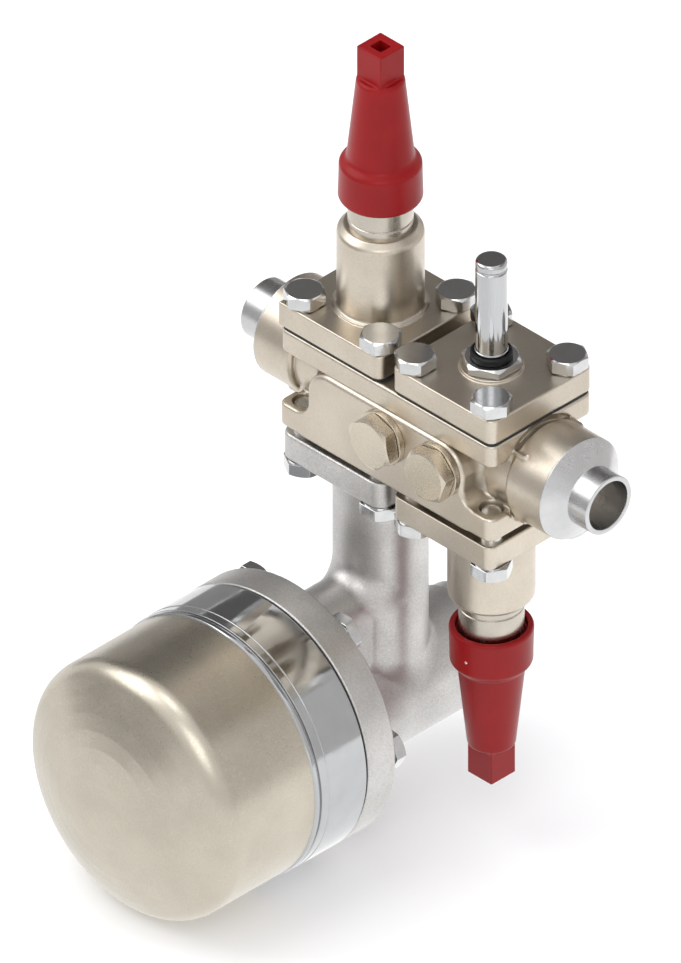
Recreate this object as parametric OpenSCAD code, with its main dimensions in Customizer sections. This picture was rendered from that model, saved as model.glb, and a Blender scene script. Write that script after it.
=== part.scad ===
// Refrigeration valve station: one cast housing with two weld ends carries a stop valve,
// a float regulator, a solenoid valve and a second stop valve.
// The origin is the centre of the inlet weld face. +X is the direction of flow, +Z is up.

/* [Housing] */
// From the inlet weld face to the middle of the housing
end_reach = 101.2; // [98:0.2:106]
// Distance between the two module axes
module_pitch = 65; // [64:0.5:67]
// Width of the housing
cover_w = 60; // [58:0.5:62]
// Height of the housing between its two port faces
housing_h = 48; // [46:0.5:52]
// Thickness of the housing's top and bottom flanges
flange_t = 11; // [9:0.5:12]
// Corner radius of the housing flanges
flange_corner = 4.5; // [3:0.5:6]
// Rounding of the cast edges
edge_round = 1.4; // [0.8:0.1:2]
// Width of the waist between the flanges
waist_w = 33; // [31:0.5:36]
// How far the waist stands back from the flange ends
waist_back = 9.5; // [7:0.5:12]
// Width and height of the marking pads beside the weld necks
mark_w = 34.6; // [33:0.2:37]
// How far the marking pads reach past the flange ends
mark_reach = 7; // [5:0.5:8]
// Radius of the hollow at the foot of the waist
foot_fillet = 3; // [2:0.5:4]
// Radius of the round ends of the front boss
boss_r = 13; // [12:0.5:14]
// How far the boss stands out of the top flange
boss_proud = 0.7; // [0.3:0.1:1.5]
// Rounding of the boss's edge
boss_round = 2.5; // [1.5:0.1:3]

/* [Weld ends] */
// Outer diameter of the weld neck barrel
neck_d = 46.4; // [44:0.2:50]
// Round on the end of a weld neck, next to the flange
neck_round = 2.5; // [1.5:0.1:4]
// Length of the machined tube at the weld end
tube_l = 10.6; // [9:0.2:12]
// Outer diameter of the weld end
tube_d = 26.9; // [26:0.1:28]
// Wall of the weld end
tube_wall = 2.3; // [2:0.1:3]
// Length of the machined cone behind the tube
cone_l = 6.6; // [5:0.2:8]

/* [Ports and passages] */
// Bore of the four module ports
port_d = 38; // [36:0.5:39]
// Thickness of the wall between an upper and a lower port
partition_t = 6; // [5:0.5:8]
// Bore of the seats and of the hole through the partition
seat_bore = 18; // [16:0.5:19]
// Height of a seat ring
seat_h = 4; // [3:0.5:4.5]
// Diameter of the slanting passages
passage_d = 15; // [12:0.5:15]

/* [Flange bolts] */
// Thread of the flange bolts
bolt_d = 10; // [8:1:10]
// Width across flats of the bolt heads
bolt_af = 16; // [15:0.5:17]
// Height of the bolt heads
bolt_head_h = 6.4; // [5:0.2:7]
// From a bolt's axis to the side of the housing
bolt_edge = 7.7; // [7:0.1:8]

/* [Module flanges] */
// Thickness of a stop valve or solenoid flange
plate_t = 11.5; // [10:0.5:13]
// How much narrower the two top flanges are than the housing
upper_inset = 0.8; // [0.4:0.1:2]
// How much narrower the stop valve flange below is than the housing
lower_inset = 2.5; // [1:0.5:4]
// Corner radius of the module flanges
plate_corner = 4; // [3:0.5:6]
// Thickness of the flange gaskets
gasket_t = 1.3; // [1:0.1:2]
// Height of the round land under each lower module
land_h = 2.6; // [2:0.1:3]

/* [Stop valves] */
// Outer diameter of the bonnet
bonnet_d = 36.8; // [35:0.2:40]
// Height of the bonnet above the housing side of its flange
bonnet_h = 52; // [48:0.5:56]
// Diameter of the bonnet's threaded neck
bonnet_neck_d = 27.6; // [26:0.2:29]
// Length of the threaded neck
bonnet_neck_l = 27; // [25:0.5:30]
// Diameter of the spindle
spindle_d = 12; // [10:0.5:12.5]
// Square at the spindle's end
spindle_square = 8.4; // [7:0.2:8.6]
// Lift of the valve cone
valve_lift = 8; // [6:0.5:9]
// Diameter of the valve cone
cone_d = 24.6; // [23:0.2:26]

/* [Spindle caps] */
// Diameter of the cap's collar
cap_d = 34.9; // [34:0.1:37]
// Height of the collar
cap_collar_h = 17.5; // [15:0.5:20]
// Diameter of the cone just above the collar
cap_cone_d = 29; // [28:0.2:30]
// Diameter at the top of the cone
cap_tip_d = 20.4; // [19:0.2:22]
// Height of the cone
cap_cone_h = 41.1; // [38:0.5:44]
// Side of the square end
cap_square = 14; // [13:0.2:15]
// Height of the square end
cap_square_h = 16; // [14:0.5:18]
// Side of the square hole in the end
cap_hole = 6.4; // [5:0.2:7]

/* [Solenoid module] */
// Outer diameter of the armature tube
tube_od = 13.5; // [13:0.1:14]
// Wall of the armature tube
armature_tube_wall = 0.8; // [0.6:0.1:1]
// Height of the armature tube above the hexagon
armature_tube_h = 49; // [45:0.5:52]
// Width across flats of the tube's hexagon
tube_hex_af = 23; // [22:0.5:25]
// Height of the hexagon
tube_hex_h = 4; // [3.5:0.5:5]
// Length of the tube's slightly wider foot
tube_foot_l = 4; // [3.6:0.1:5]
// Height of the rubber ring on the hexagon
o_ring_h = 3.2; // [2.6:0.1:4]
// Lift of the armature
armature_lift = 2.5; // [2:0.1:3]
// Diameter of the main piston
piston_d = 28; // [27:0.5:29]
// Lift of the main piston
piston_lift = 5; // [4:0.5:6]

/* [Side plugs] */
// Width across flats of the side plugs
plug_af = 22; // [21:0.5:24]
// How far a plug's hexagon stands out of its washer
plug_h = 6.5; // [5:0.5:9]
// Thread of the side plugs
plug_thread_d = 17; // [15:0.5:18]
// Thickness of the plug washers
washer_t = 2.8; // [1.5:0.1:3.5]

/* [Float body] */
// Thickness of the float body's square flange
float_flange_t = 13; // [12:0.5:15]
// Outer diameter of the column
column_d = 40; // [38:0.5:43]
// Bore of the column
column_bore = 28; // [26:0.5:30]
// Outer diameter of the low crosswise barrel
barrel_d = 52; // [50:0.5:53]
// Height of the barrel's axis below the flow axis
barrel_drop = 157; // [155:0.5:160]
// How far the barrel reaches behind the column axis
barrel_back = 50; // [46:0.5:54]
// Width of the vent pipe and of the web under it
vent_d = 27; // [25:0.5:28]
// Bore of the vent pipe
vent_bore = 12.4; // [10:0.2:14]
// Height of the vent pipe's axis below the flow axis
vent_drop = 106.3; // [105:0.1:108]

/* [Float chamber] */
// Height of the chamber's axis below the flow axis
chamber_drop = 140; // [138:0.5:143]
// Outer diameter of the chamber flange
chamber_d = 121; // [119:0.5:126]
// From the column axis to the chamber gasket
chamber_face = 67.5; // [66:0.5:69]
// Thickness of the chamber flange
chamber_flange_t = 16; // [14:0.5:18]
// Length of the machined ring
ring_l = 29.5; // [28:0.5:31]
// How far the dome's wall stands inside the rim of the chamber
dome_step = 1; // [0.5:0.1:2]
// Length of the dome
dome_l = 67.5; // [65:0.1:70]
// Wall of the dome
dome_wall = 3; // [2:0.5:4]
// Rounding between the dome's wall and its end
dome_corner = 12; // [10:1:16]
// Radius of the dome's crowned end
dome_crown = 100; // [90:5:150]
// Number of bolts round the chamber flange
chamber_bolts_n = 6; // [5:1:8]
// From a chamber bolt's axis to the rim of the chamber
chamber_bolt_edge = 8.5; // [8.5:0.1:9.5]

/* [Float and orifice] */
// Diameter of the float ball
ball_d = 68; // [64:1:70]
// Wall of the float ball
ball_wall = 0.8; // [0.6:0.1:1.5]
// From the float pin to the ball's centre, along the chamber
arm_reach = 42; // [40:0.5:44]
// How far the ball hangs below the float pin at rest
arm_drop = 8; // [7:0.5:9]
// Diameter of the float pin
pin_d = 4; // [3:0.2:5]
// Diameter of the riser tube in the column
riser_d = 16; // [14:0.5:18]
// Bore of the orifice
orifice_d = 6; // [4:0.2:8]
// Arm of the lever that moves the needle
lever_arm = 8; // [7:0.5:9]

/* [Clearances] */
// Radial play of a shaft that turns or slides in a bore
running_gap = 0.05; // [0.02:0.01:0.1]
// Distance kept between curved faces that do not guide each other
free_gap = 0.35; // [0.3:0.05:0.5]
// Radial play of a bolt in its threaded hole
thread_gap = 0.05; // [0.03:0.01:0.1]
// Radial play of a bolt in its through hole
bolt_gap = 0.5; // [0.4:0.1:0.8]

/* [Hidden] */
$fn = 64;
eps = 0.01;

// Places along the flow
inlet_x = end_reach - module_pitch / 2;
outlet_x = end_reach + module_pitch / 2;
flange_l = module_pitch + cover_w;
bolt_square = cover_w - 2 * bolt_edge;
upper_plate_w = cover_w - upper_inset;
lower_plate_w = cover_w - lower_inset;
half_h = housing_h / 2;
boss_foot = module_pitch + 2 * boss_r;
neck_r = neck_d / 2;
tube_r = tube_d / 2;
neck_l = end_reach - flange_l / 2 - tube_l - cone_l;
lower_gap = land_h + gasket_t;
port_r = port_d / 2;
seat_top = partition_t / 2 + seat_h;
passage_z = partition_t / 2 + passage_d / 2 + 0.5;
plug_y = cover_w / 2 + boss_proud;
plug_l = plug_y - port_r - 2;
plug_places = [end_reach, outlet_x];
plug_turns = [12, -18];
// The upper flanges stand flush with the two ends of the housing
plate_shift = (cover_w - upper_plate_w) / 2;

// Stop valve stations, measured from the housing side of the module flange
bonnet_r = bonnet_d / 2;
neck_top = bonnet_h + bonnet_neck_l;
spindle_r = spindle_d / 2;
gland_r = spindle_r + 3;
box_floor = neck_top - 19;
gland_l = 1.5 * spindle_r;
gland_hex_h = 5;
guide_floor = plate_t + valve_lift + 6;
square_l = spindle_d + 2;
spindle_top = neck_top + gland_hex_h + spindle_r + square_l;
foot_r = spindle_r - 2;
foot_l = spindle_r;
cone_t = 8;
cap_z = neck_top - 12.2;
cap_seal_t = 1.2;
cap_room = spindle_top + valve_lift + 3;

module round_rect(w, d, r) {
    square([w - 2 * r, d], center = true);
    square([w, d - 2 * r], center = true);
    for (x = [-1, 1], y = [-1, 1])
        translate([x * (w / 2 - r), y * (d / 2 - r)]) circle(r);
}

// A plate from z = 0 to h, with its top edge rounded by f
module soft_plate(w, d, h, r, f) {
    linear_extrude(h - f) round_rect(w, d, r);
    linear_extrude(h) round_rect(w - 2 * f, d - 2 * f, r - f);
    for (s = [-1, 1]) {
        translate([0, s * (d / 2 - f), h - f])
            rotate([0, 90, 0]) cylinder(r = f, h = w - 2 * r, center = true);
        translate([s * (w / 2 - f), 0, h - f])
            rotate([90, 0, 0]) cylinder(r = f, h = d - 2 * r, center = true);
        for (t = [-1, 1])
            translate([s * (w / 2 - r), t * (d / 2 - r), h - f])
                rotate_extrude() translate([r - f, 0]) circle(f);
    }
}

// Fills the corner of a soft plate at -x and -y, so that it is as sharp as its edges
module sharp_corner(w, d, h, r, f) {
    translate([-w / 2, -d / 2, 0]) {
        linear_extrude(h - f) {
            translate([f, f]) circle(f);
            translate([f, 0]) square([r, r]);
            translate([0, f]) square([r, r]);
        }
        translate([f, f, 0]) cube([r, r, h]);
        translate([f, f, h - f]) {
            sphere(f);
            rotate([0, 90, 0]) cylinder(r = f, h = r);
            rotate([-90, 0, 0]) cylinder(r = f, h = r);
        }
    }
}

module hexagon(af, h) {
    rotate([0, 0, 30]) cylinder(d = af / cos(30), h = h, $fn = 6);
}

// A hexagon from z = 0 to h whose top corners are turned down to the flats
module turned_hexagon(af, h) {
    corner = af / 2 / cos(30);
    drop = (corner - af / 2) * tan(30);
    intersection() {
        hexagon(af, h);
        rotate_extrude()
            polygon([[0, 0], [af, 0], [af, h - drop], [corner, h - drop], [af / 2 * 0.96, h], [0, h]]);
    }
}

module bolt(d, length, af, head_h) {
    turned_hexagon(af, head_h);
    translate([0, 0, -length]) cylinder(d = d, h = length + eps);
}

module tube(r_out, r_in, h) {
    difference() {
        cylinder(r = r_out, h = h);
        translate([0, 0, -1]) cylinder(r = r_in, h = h + 2);
    }
}

// The bolt at +x and -y stands turned against the other three
module at_bolts() {
    for (x = [-1, 1], y = [-1, 1])
        translate([x * bolt_square / 2, y * bolt_square / 2, 0])
            rotate([0, 0, x > y ? 30 : 0]) children();
}

// A module stands on the upper or the lower port face of the housing
module on_top(x) {
    translate([x, 0, half_h + gasket_t]) children();
}

module on_bottom(x) {
    translate([x, 0, -half_h - lower_gap]) mirror([0, 0, 1]) children();
}

module both_ends() {
    children();
    translate([2 * end_reach, 0, 0]) mirror([1, 0, 0]) children();
}

module passage(x_out, x_in, z_out, z_in) {
    run = x_in - x_out;
    rise = z_in - z_out;
    translate([x_out, 0, z_out])
        rotate([0, atan2(run, rise), 0])
            cylinder(d = passage_d, h = norm([run, rise]));
}

module weld_neck() {
    face = end_reach - flange_l / 2;
    rotate([0, 90, 0])
        rotate_extrude() {
            polygon([
                [0, 0], [tube_r, 0], [tube_r, tube_l], [neck_r, tube_l + cone_l],
                [neck_r, face - neck_round], [neck_r - neck_round, face],
                [neck_r - neck_round, face + waist_back + 4], [0, face + waist_back + 4]]);
            translate([neck_r - neck_round, face - neck_round]) circle(neck_round);
        }
}

module housing_outside() {
    translate([end_reach, 0, 0]) {
        translate([0, 0, half_h - flange_t])
            soft_plate(flange_l, cover_w, flange_t, flange_corner, edge_round);
        translate([0, -boss_proud / 2, -half_h])
            soft_plate(flange_l, cover_w + boss_proud, flange_t, flange_corner, edge_round);
        // The waist and the pads for markings
        linear_extrude(housing_h - 2 * flange_t + 1, center = true)
            round_rect(flange_l - 2 * waist_back, waist_w, 3);
        cube([flange_l + 2 * mark_reach, mark_w, mark_w], center = true);
        waist_foot();
        front_boss();
    }
    both_ends() weld_neck();
}

// A hollow fillet along each side of the waist, on top of the bottom flange
module waist_foot() {
    length = flange_l - 2 * waist_back;
    for (s = [0, 1])
        mirror([0, s, 0])
            translate([-length / 2, -waist_w / 2 - foot_fillet, -half_h + flange_t])
                difference() {
                    translate([0, 0, -1]) cube([length, foot_fillet + 1, foot_fillet + 1]);
                    translate([-1, 0, foot_fillet])
                        rotate([0, 90, 0]) cylinder(r = foot_fillet, h = length + 2);
                }
}

// The front boss: a flat with round ends, proud of the top flange, its edge rounded
module front_boss() {
    inner_r = boss_r - boss_round;
    translate([0, -cover_w / 2 - boss_proud, 0]) rotate([-90, 0, 0]) {
        boss_face(boss_r, boss_round, (cover_w - waist_w) / 2);
        boss_face(inner_r, 0, boss_round + 1);
        for (s = [-1, 1])
            translate([s * module_pitch / 2, 0, boss_round])
                rotate_extrude() translate([inner_r, 0]) circle(boss_round);
        translate([0, -inner_r, boss_round]) rotate([0, 90, 0])
            cylinder(r = boss_round, h = module_pitch, center = true);
        translate([-boss_foot / 2, 0, 0]) cube([boss_foot, half_h, (cover_w - waist_w) / 2]);
    }
}

module boss_face(r, z, depth) {
    translate([0, 0, z]) linear_extrude(depth) {
        square([module_pitch, 2 * r], center = true);
        for (s = [-1, 1]) translate([s * module_pitch / 2, 0]) circle(r);
    }
}

module valve_housing() {
    color("#b8afa2")
    difference() {
        housing_outside();
        for (x = [inlet_x, outlet_x]) {
            translate([x, 0, partition_t / 2]) cylinder(r = port_r, h = half_h);
            translate([x, 0, -partition_t / 2 - half_h]) cylinder(r = port_r, h = half_h);
            translate([x, 0, -half_h]) cylinder(d = seat_bore, h = housing_h);
            translate([x, 0, half_h - flange_t + 2])
                at_bolts() cylinder(r = bolt_d / 2 + thread_gap, h = flange_t);
            translate([x, 0, -half_h - 1])
                at_bolts() cylinder(r = bolt_d / 2 + thread_gap, h = flange_t + 2);
        }
        // Weld end bores, then passages that slant up to the first port and down to the last
        both_ends() translate([-1, 0, 0]) rotate([0, 90, 0])
            cylinder(r = tube_r - tube_wall, h = tube_l + cone_l + 6);
        passage(tube_l + cone_l + 2, inlet_x - port_r + 5, 0, passage_z);
        passage(outlet_x + port_r - 5, 2 * end_reach - tube_l - cone_l - 2, -passage_z, 0);
        passage(inlet_x + port_r - 4, outlet_x - port_r + 4, -passage_z, passage_z);
        // Plug holes, the middle one down to the cross passage, the other with a drilled way down
        translate([end_reach, -plug_y - 3, 0]) rotate([-90, 0, 0])
            cylinder(r = plug_thread_d / 2 + thread_gap, h = plug_y - 1);
        translate([outlet_x, -plug_y - 3, 0]) rotate([-90, 0, 0])
            cylinder(r = plug_thread_d / 2 + thread_gap, h = plug_l + 4);
        translate([outlet_x, -plug_y, -partition_t / 2 - 3]) rotate([-90, 0, 0])
            cylinder(r = 2.5, h = plug_y - port_r + 4);
    }
}

module side_plugs() {
    color("#b3a998")
    for (i = [0, 1])
        translate([plug_places[i], -plug_y - washer_t, 0]) rotate([90, 0, 0]) rotate([0, 0, plug_turns[i]])
            bolt(plug_thread_d, plug_l + washer_t, plug_af, plug_h);
}

module plug_washers() {
    color("#8f8b84")
    for (x = plug_places)
        translate([x, -plug_y, 0]) rotate([90, 0, 0])
            tube(plug_af / 2 / cos(30) - 0.3, plug_thread_d / 2 + bolt_gap, washer_t);
}

// Stop valve parts, drawn upright with z = 0 on the housing side of the flange

module bonnet(w, shift, land) {
    shoulder = 3;
    difference() {
        union() {
            translate([shift, 0, 0]) {
                soft_plate(w, cover_w, plate_t, plate_corner, edge_round / 2);
                if (shift < 0) sharp_corner(w, cover_w, plate_t, plate_corner, edge_round / 2);
            }
            if (land > 0) translate([0, 0, -land]) cylinder(r = port_r + 4, h = land + 1);
            rotate_extrude()
                polygon([
                    [0, 1], [bonnet_r + 1.6, 1], [bonnet_r + 1.6, plate_t], [bonnet_r + 0.5, plate_t + 0.8],
                    [bonnet_r, plate_t + 2], [bonnet_r, bonnet_h - shoulder],
                    [bonnet_r - shoulder, bonnet_h], [bonnet_neck_d / 2, bonnet_h],
                    [bonnet_neck_d / 2, neck_top - 1], [bonnet_neck_d / 2 - 1, neck_top], [0, neck_top]]);
        }
        translate([0, 0, -land - 1]) cylinder(r = cone_d / 2 + 1.2, h = guide_floor + land + 1);
        cylinder(r = spindle_r + running_gap, h = neck_top + 1);
        translate([0, 0, box_floor]) cylinder(r = gland_r, h = neck_top);
        translate([0, 0, -1]) at_bolts() cylinder(r = bolt_d / 2 + bolt_gap, h = plate_t + 2);
    }
}

module packing_rings() {
    ring = 3;
    for (i = [0:2])
        translate([0, 0, box_floor + i * (ring + 0.2)])
            tube(gland_r - running_gap, spindle_r + free_gap, ring);
}

module gland_nut() {
    difference() {
        union() {
            translate([0, 0, neck_top - gland_l]) cylinder(r = gland_r - thread_gap, h = gland_l + eps);
            translate([0, 0, neck_top]) turned_hexagon(2 * gland_r + 1, gland_hex_h);
        }
        translate([0, 0, neck_top - gland_l - 1])
            cylinder(r = spindle_r + free_gap, h = gland_l + gland_hex_h + 2);
    }
}

module spindle(cone_top) {
    translate([0, 0, cone_top + running_gap])
        cylinder(r = spindle_r, h = spindle_top - square_l - cone_top - running_gap);
    translate([0, 0, cone_top - foot_l + 1]) cylinder(r = foot_r, h = foot_l);
    translate([0, 0, spindle_top - square_l])
        intersection() {
            translate([0, 0, square_l / 2])
                cube([spindle_square, spindle_square, square_l], center = true);
            cylinder(r = spindle_r - 0.3, h = square_l);
        }
}

module valve_cone(cone_top) {
    face = cone_top - cone_t;
    difference() {
        rotate_extrude()
            polygon([
                [0, face - 2], [seat_bore / 2 - 2.5, face - 2], [seat_bore / 2 - 1, face],
                [cone_d / 2, face], [cone_d / 2, face + 4], [foot_r + 4, face + 5.5],
                [foot_r + 4, cone_top], [0, cone_top]]);
        translate([0, 0, cone_top - foot_l]) cylinder(r = foot_r + running_gap, h = foot_l + 1);
        translate([0, 0, face - 0.5]) tube(cone_d / 2 - 0.8, seat_bore / 2 + 0.4, 2.5);
    }
}

module cone_seal(cone_top) {
    face = cone_top - cone_t;
    translate([0, 0, face]) tube(cone_d / 2 - 0.85, seat_bore / 2 + 0.45, 2);
}

module cap_seal() {
    translate([0, 0, neck_top]) tube(bonnet_neck_d / 2 - 1, 2 * gland_r / 2 / cos(30) + 1, cap_seal_t);
}

module cap() {
    base = cap_z;
    cone_z = base + cap_collar_h;
    tip_z = cone_z + cap_cone_h;
    top_z = tip_z + cap_square_h;
    difference() {
        union() {
            rotate_extrude()
                polygon([
                    [0, base], [cap_d / 2 - 0.5, base], [cap_d / 2, base + 0.5],
                    [cap_d / 2, cone_z - 2], [cap_d / 2 - 0.6, cone_z - 0.6], [cap_d / 2 - 2, cone_z],
                    [cap_cone_d / 2, cone_z],
                    [cap_tip_d / 2, tip_z], [0, tip_z + 1.5]]);
            translate([0, 0, top_z - cap_square_h / 2 - 2])
                cube([cap_square, cap_square, cap_square_h + 4], center = true);
        }
        translate([0, 0, base - 1]) cylinder(r = bonnet_neck_d / 2 + 0.1, h = neck_top + cap_seal_t - base + 1);
        cylinder(r = gland_r / cos(30) + 0.7 + free_gap, h = neck_top + gland_hex_h + 2);
        cylinder(r = spindle_r + 1.5, h = cap_room);
        translate([0, 0, top_z - 3]) cube([cap_hole, cap_hole, 6 + eps], center = true);
    }
}

module seat_ring() {
    rotate_extrude()
        polygon([
            [seat_bore / 2, 0], [cone_d / 2 + 2, 0], [cone_d / 2 + 2, seat_h - 1],
            [cone_d / 2 + 1, seat_h], [seat_bore / 2 + 0.5, seat_h], [seat_bore / 2, seat_h - 0.5]]);
}

module flat_gasket(shift) {
    difference() {
        translate([shift, 0, 0])
            linear_extrude(gasket_t) round_rect(upper_plate_w - 0.8, cover_w - 0.8, plate_corner);
        translate([0, 0, -1]) cylinder(r = port_r + 0.5, h = gasket_t + 2);
        translate([0, 0, -1]) at_bolts() cylinder(r = bolt_d / 2 + bolt_gap, h = gasket_t + 2);
    }
}

module inlet_seat_ring() {
    color("#a8a9ab") translate([inlet_x, 0, partition_t / 2]) seat_ring();
}

module outlet_seat_ring() {
    color("#a8a9ab") translate([outlet_x, 0, -partition_t / 2]) mirror([0, 0, 1]) seat_ring();
}

// Top faces of the two cones above the housing side of their flanges
inlet_cone_top = seat_top + cone_t - half_h - gasket_t;
outlet_cone_top = seat_top + cone_t - half_h - lower_gap;

module inlet_gasket() {
    color("#2a2b2d") translate([inlet_x, 0, half_h]) flat_gasket(-plate_shift);
}

module inlet_bonnet() {
    color("#b9b0a4") on_top(inlet_x) bonnet(upper_plate_w, -plate_shift, 0);
}

module inlet_bonnet_bolts() {
    color("#c7c9cc") on_top(inlet_x) translate([0, 0, plate_t])
        at_bolts() bolt(bolt_d, plate_t + gasket_t + flange_t - 3, bolt_af, bolt_head_h);
}

module inlet_packing_rings() {
    color("#e6e4df") on_top(inlet_x) packing_rings();
}

module inlet_gland_nut() {
    color("#b5b7ba") on_top(inlet_x) gland_nut();
}

module inlet_spindle() {
    color("#c4c5c7") on_top(inlet_x) spindle(inlet_cone_top);
}

module inlet_valve_cone() {
    color("#a9abad") on_top(inlet_x) valve_cone(inlet_cone_top);
}

module inlet_cone_seal() {
    color("#e9e7e2") on_top(inlet_x) cone_seal(inlet_cone_top);
}

module inlet_cap_seal() {
    color("#222324") on_top(inlet_x) cap_seal();
}

module inlet_cap() {
    color("#9c1a1d") on_top(inlet_x) cap();
}

module outlet_gasket() {
    color("#2a2b2d") translate([outlet_x, 0, -half_h - gasket_t])
        tube(port_r + 4, port_r + 0.5, gasket_t);
}

module outlet_bonnet() {
    color("#b9b0a4") on_bottom(outlet_x) bonnet(lower_plate_w, 0, land_h);
}

module outlet_bonnet_bolts() {
    color("#c7c9cc") on_bottom(outlet_x) translate([0, 0, plate_t])
        at_bolts() bolt(bolt_d, plate_t + lower_gap + flange_t - 1.5, bolt_af, bolt_head_h);
}

module outlet_packing_rings() {
    color("#e6e4df") on_bottom(outlet_x) packing_rings();
}

module outlet_gland_nut() {
    color("#b5b7ba") on_bottom(outlet_x) gland_nut();
}

module outlet_spindle() {
    color("#c4c5c7") on_bottom(outlet_x) spindle(outlet_cone_top);
}

module outlet_valve_cone() {
    color("#a9abad") on_bottom(outlet_x) valve_cone(outlet_cone_top);
}

module outlet_cone_seal() {
    color("#e9e7e2") on_bottom(outlet_x) cone_seal(outlet_cone_top);
}

module outlet_cap_seal() {
    color("#222324") on_bottom(outlet_x) cap_seal();
}

module outlet_cap() {
    color("#9c1a1d") on_bottom(outlet_x) cap();
}

// Solenoid module

boss_h = 1.2;
hex_z = plate_t + boss_h;
tube_z = hex_z + tube_hex_h;
tube_top = tube_z + armature_tube_h;
armature_r = tube_od / 2 - armature_tube_wall - running_gap;
stop_z = tube_top - 16;
pilot_z = plate_t - 4;
armature_l = stop_z - pilot_z - armature_lift - 0.1;
piston_r = piston_d / 2;
cage_top = half_h + gasket_t - 0.2;
piston_l = 10;
spring_wire = 1.2;
foot_step = 0.35;

module solenoid_gasket() {
    color("#2a2b2d") translate([outlet_x, 0, half_h]) flat_gasket(plate_shift);
}

module solenoid_cover() {
    color("#b9b0a4") on_top(outlet_x)
    difference() {
        union() {
            translate([plate_shift, 0, 0])
                soft_plate(upper_plate_w, cover_w, plate_t, plate_corner, edge_round / 2);
            cylinder(d = tube_hex_af / cos(30), h = hex_z);
        }
        translate([0, 0, pilot_z]) cylinder(r = tube_od / 2 + 1.5, h = plate_t);
        translate([0, 0, -1]) cylinder(r = piston_r + 2, h = 6);
        cylinder(r = 1.5, h = plate_t);
        translate([0, 0, -1]) at_bolts() cylinder(r = bolt_d / 2 + bolt_gap, h = plate_t + 2);
    }
}

module solenoid_cover_bolts() {
    color("#c7c9cc") on_top(outlet_x) translate([0, 0, plate_t])
        at_bolts() bolt(bolt_d, plate_t + gasket_t + flange_t - 3, bolt_af, bolt_head_h);
}

module solenoid_cage() {
    floor_t = seat_h;
    color("#a3a5a7") translate([outlet_x, 0, partition_t / 2])
    difference() {
        union() {
            cylinder(r = port_r - 0.1, h = floor_t - 1);
            tube(port_r - 0.1, piston_r + running_gap, cage_top - partition_t / 2);
            tube(seat_bore / 2 + 3, seat_bore / 2, floor_t);
        }
        translate([0, 0, -1]) cylinder(d = seat_bore, h = floor_t + 2);
        for (a = [0:60:300])
            rotate([0, 0, a + 30]) translate([piston_r - 2, 0, floor_t + 4]) rotate([0, 90, 0])
                cylinder(r = 3.4, h = port_r);
    }
}

module armature_tube() {
    wall = armature_tube_wall;
    color("#c9cbce") on_top(outlet_x)
    difference() {
        union() {
            translate([0, 0, pilot_z]) cylinder(r = tube_od / 2 + 1.4, h = hex_z - pilot_z);
            translate([0, 0, hex_z]) turned_hexagon(tube_hex_af, tube_hex_h);
            rotate_extrude()
                difference() {
                    union() {
                        square([tube_od / 2, tube_top - 1.5]);
                        square([tube_od / 2 + foot_step, tube_z + tube_foot_l]);
                        square([tube_od / 2 - 1.5, tube_top]);
                        translate([tube_od / 2 - 1.5, tube_top - 1.5]) circle(1.5);
                    }
                    square([tube_od, pilot_z]);
                    translate([tube_od / 2 + 0.35, tube_top - 4.2]) circle(0.9);
                }
        }
        translate([0, 0, pilot_z - 1]) cylinder(r = tube_od / 2 - wall, h = stop_z - pilot_z + 1);
    }
}

module tube_o_ring() {
    section = 1.8;
    middle = tube_od / 2 + foot_step + section / 2 + running_gap;
    color("#141414") on_top(outlet_x) translate([0, 0, tube_z + section / 2])
        rotate_extrude() {
            translate([middle, 0]) circle(section / 2);
            translate([middle, o_ring_h - section]) circle(section / 2);
            translate([middle - section / 2, 0]) square([section, o_ring_h - section]);
        }
}

module armature() {
    color("#aeb0b2") on_top(outlet_x)
    difference() {
        union() {
            translate([0, 0, pilot_z + 1.5]) cylinder(r = armature_r, h = armature_l - 1.5);
            translate([0, 0, pilot_z]) cylinder(r = 3, h = 2);
        }
        translate([0, 0, pilot_z + armature_l - 8]) cylinder(r = armature_r - 2, h = 9);
    }
}

// Ends of the armature spring: in the armature's socket and on the fixed stop
armature_spring_z = [pilot_z + armature_l - 8, stop_z];

module coil(r, wire, z_low, z_high, turns) {
    steps = 14;
    pitch = (z_high - z_low - wire) / turns;
    ring = 6;
    points = [for (i = [0:turns * steps])
        for (k = [0:ring - 1])
            let (a = 360 * i / steps, b = 360 * k / ring, q = r + wire / 2 * cos(b))
                [q * cos(a), q * sin(a), z_low + wire / 2 + pitch * i / steps + wire / 2 * sin(b)]];
    count = turns * steps;
    sides = [for (i = [0:count - 1]) for (k = [0:ring - 1])
        [i * ring + k, (i + 1) * ring + k, (i + 1) * ring + (k + 1) % ring, i * ring + (k + 1) % ring]];
    ends = [[for (k = [0:ring - 1]) k], [for (k = [ring - 1:-1:0]) count * ring + k]];
    polyhedron(points = points, faces = concat(sides, ends));
}

module armature_spring() {
    color("#8f9194") on_top(outlet_x)
        coil(armature_r - 3.2, spring_wire * 0.7, armature_spring_z[0] + 0.05, armature_spring_z[1] - 0.05, 9);
}

module main_piston() {
    face = seat_top;
    color("#9fa1a3") translate([outlet_x, 0, face])
    difference() {
        cylinder(r = piston_r, h = piston_l);
        translate([0, 0, 3]) cylinder(r = piston_r - 2.5, h = piston_l);
        cylinder(r = 1, h = 10);
        translate([0, 0, piston_l - 4]) tube(piston_r + 1, piston_r - 1.3, 2);
    }
}

module piston_ring() {
    color("#34302c") translate([outlet_x, 0, seat_top + piston_l - 4])
        tube(piston_r - 0.05, piston_r - 1.25, 2);
}

module piston_spring() {
    color("#8f9194") translate([outlet_x, 0, 0])
        coil(piston_r - 5, spring_wire, seat_top + 3.05, half_h + gasket_t + 4.95, 4);
}

// Float module

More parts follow.
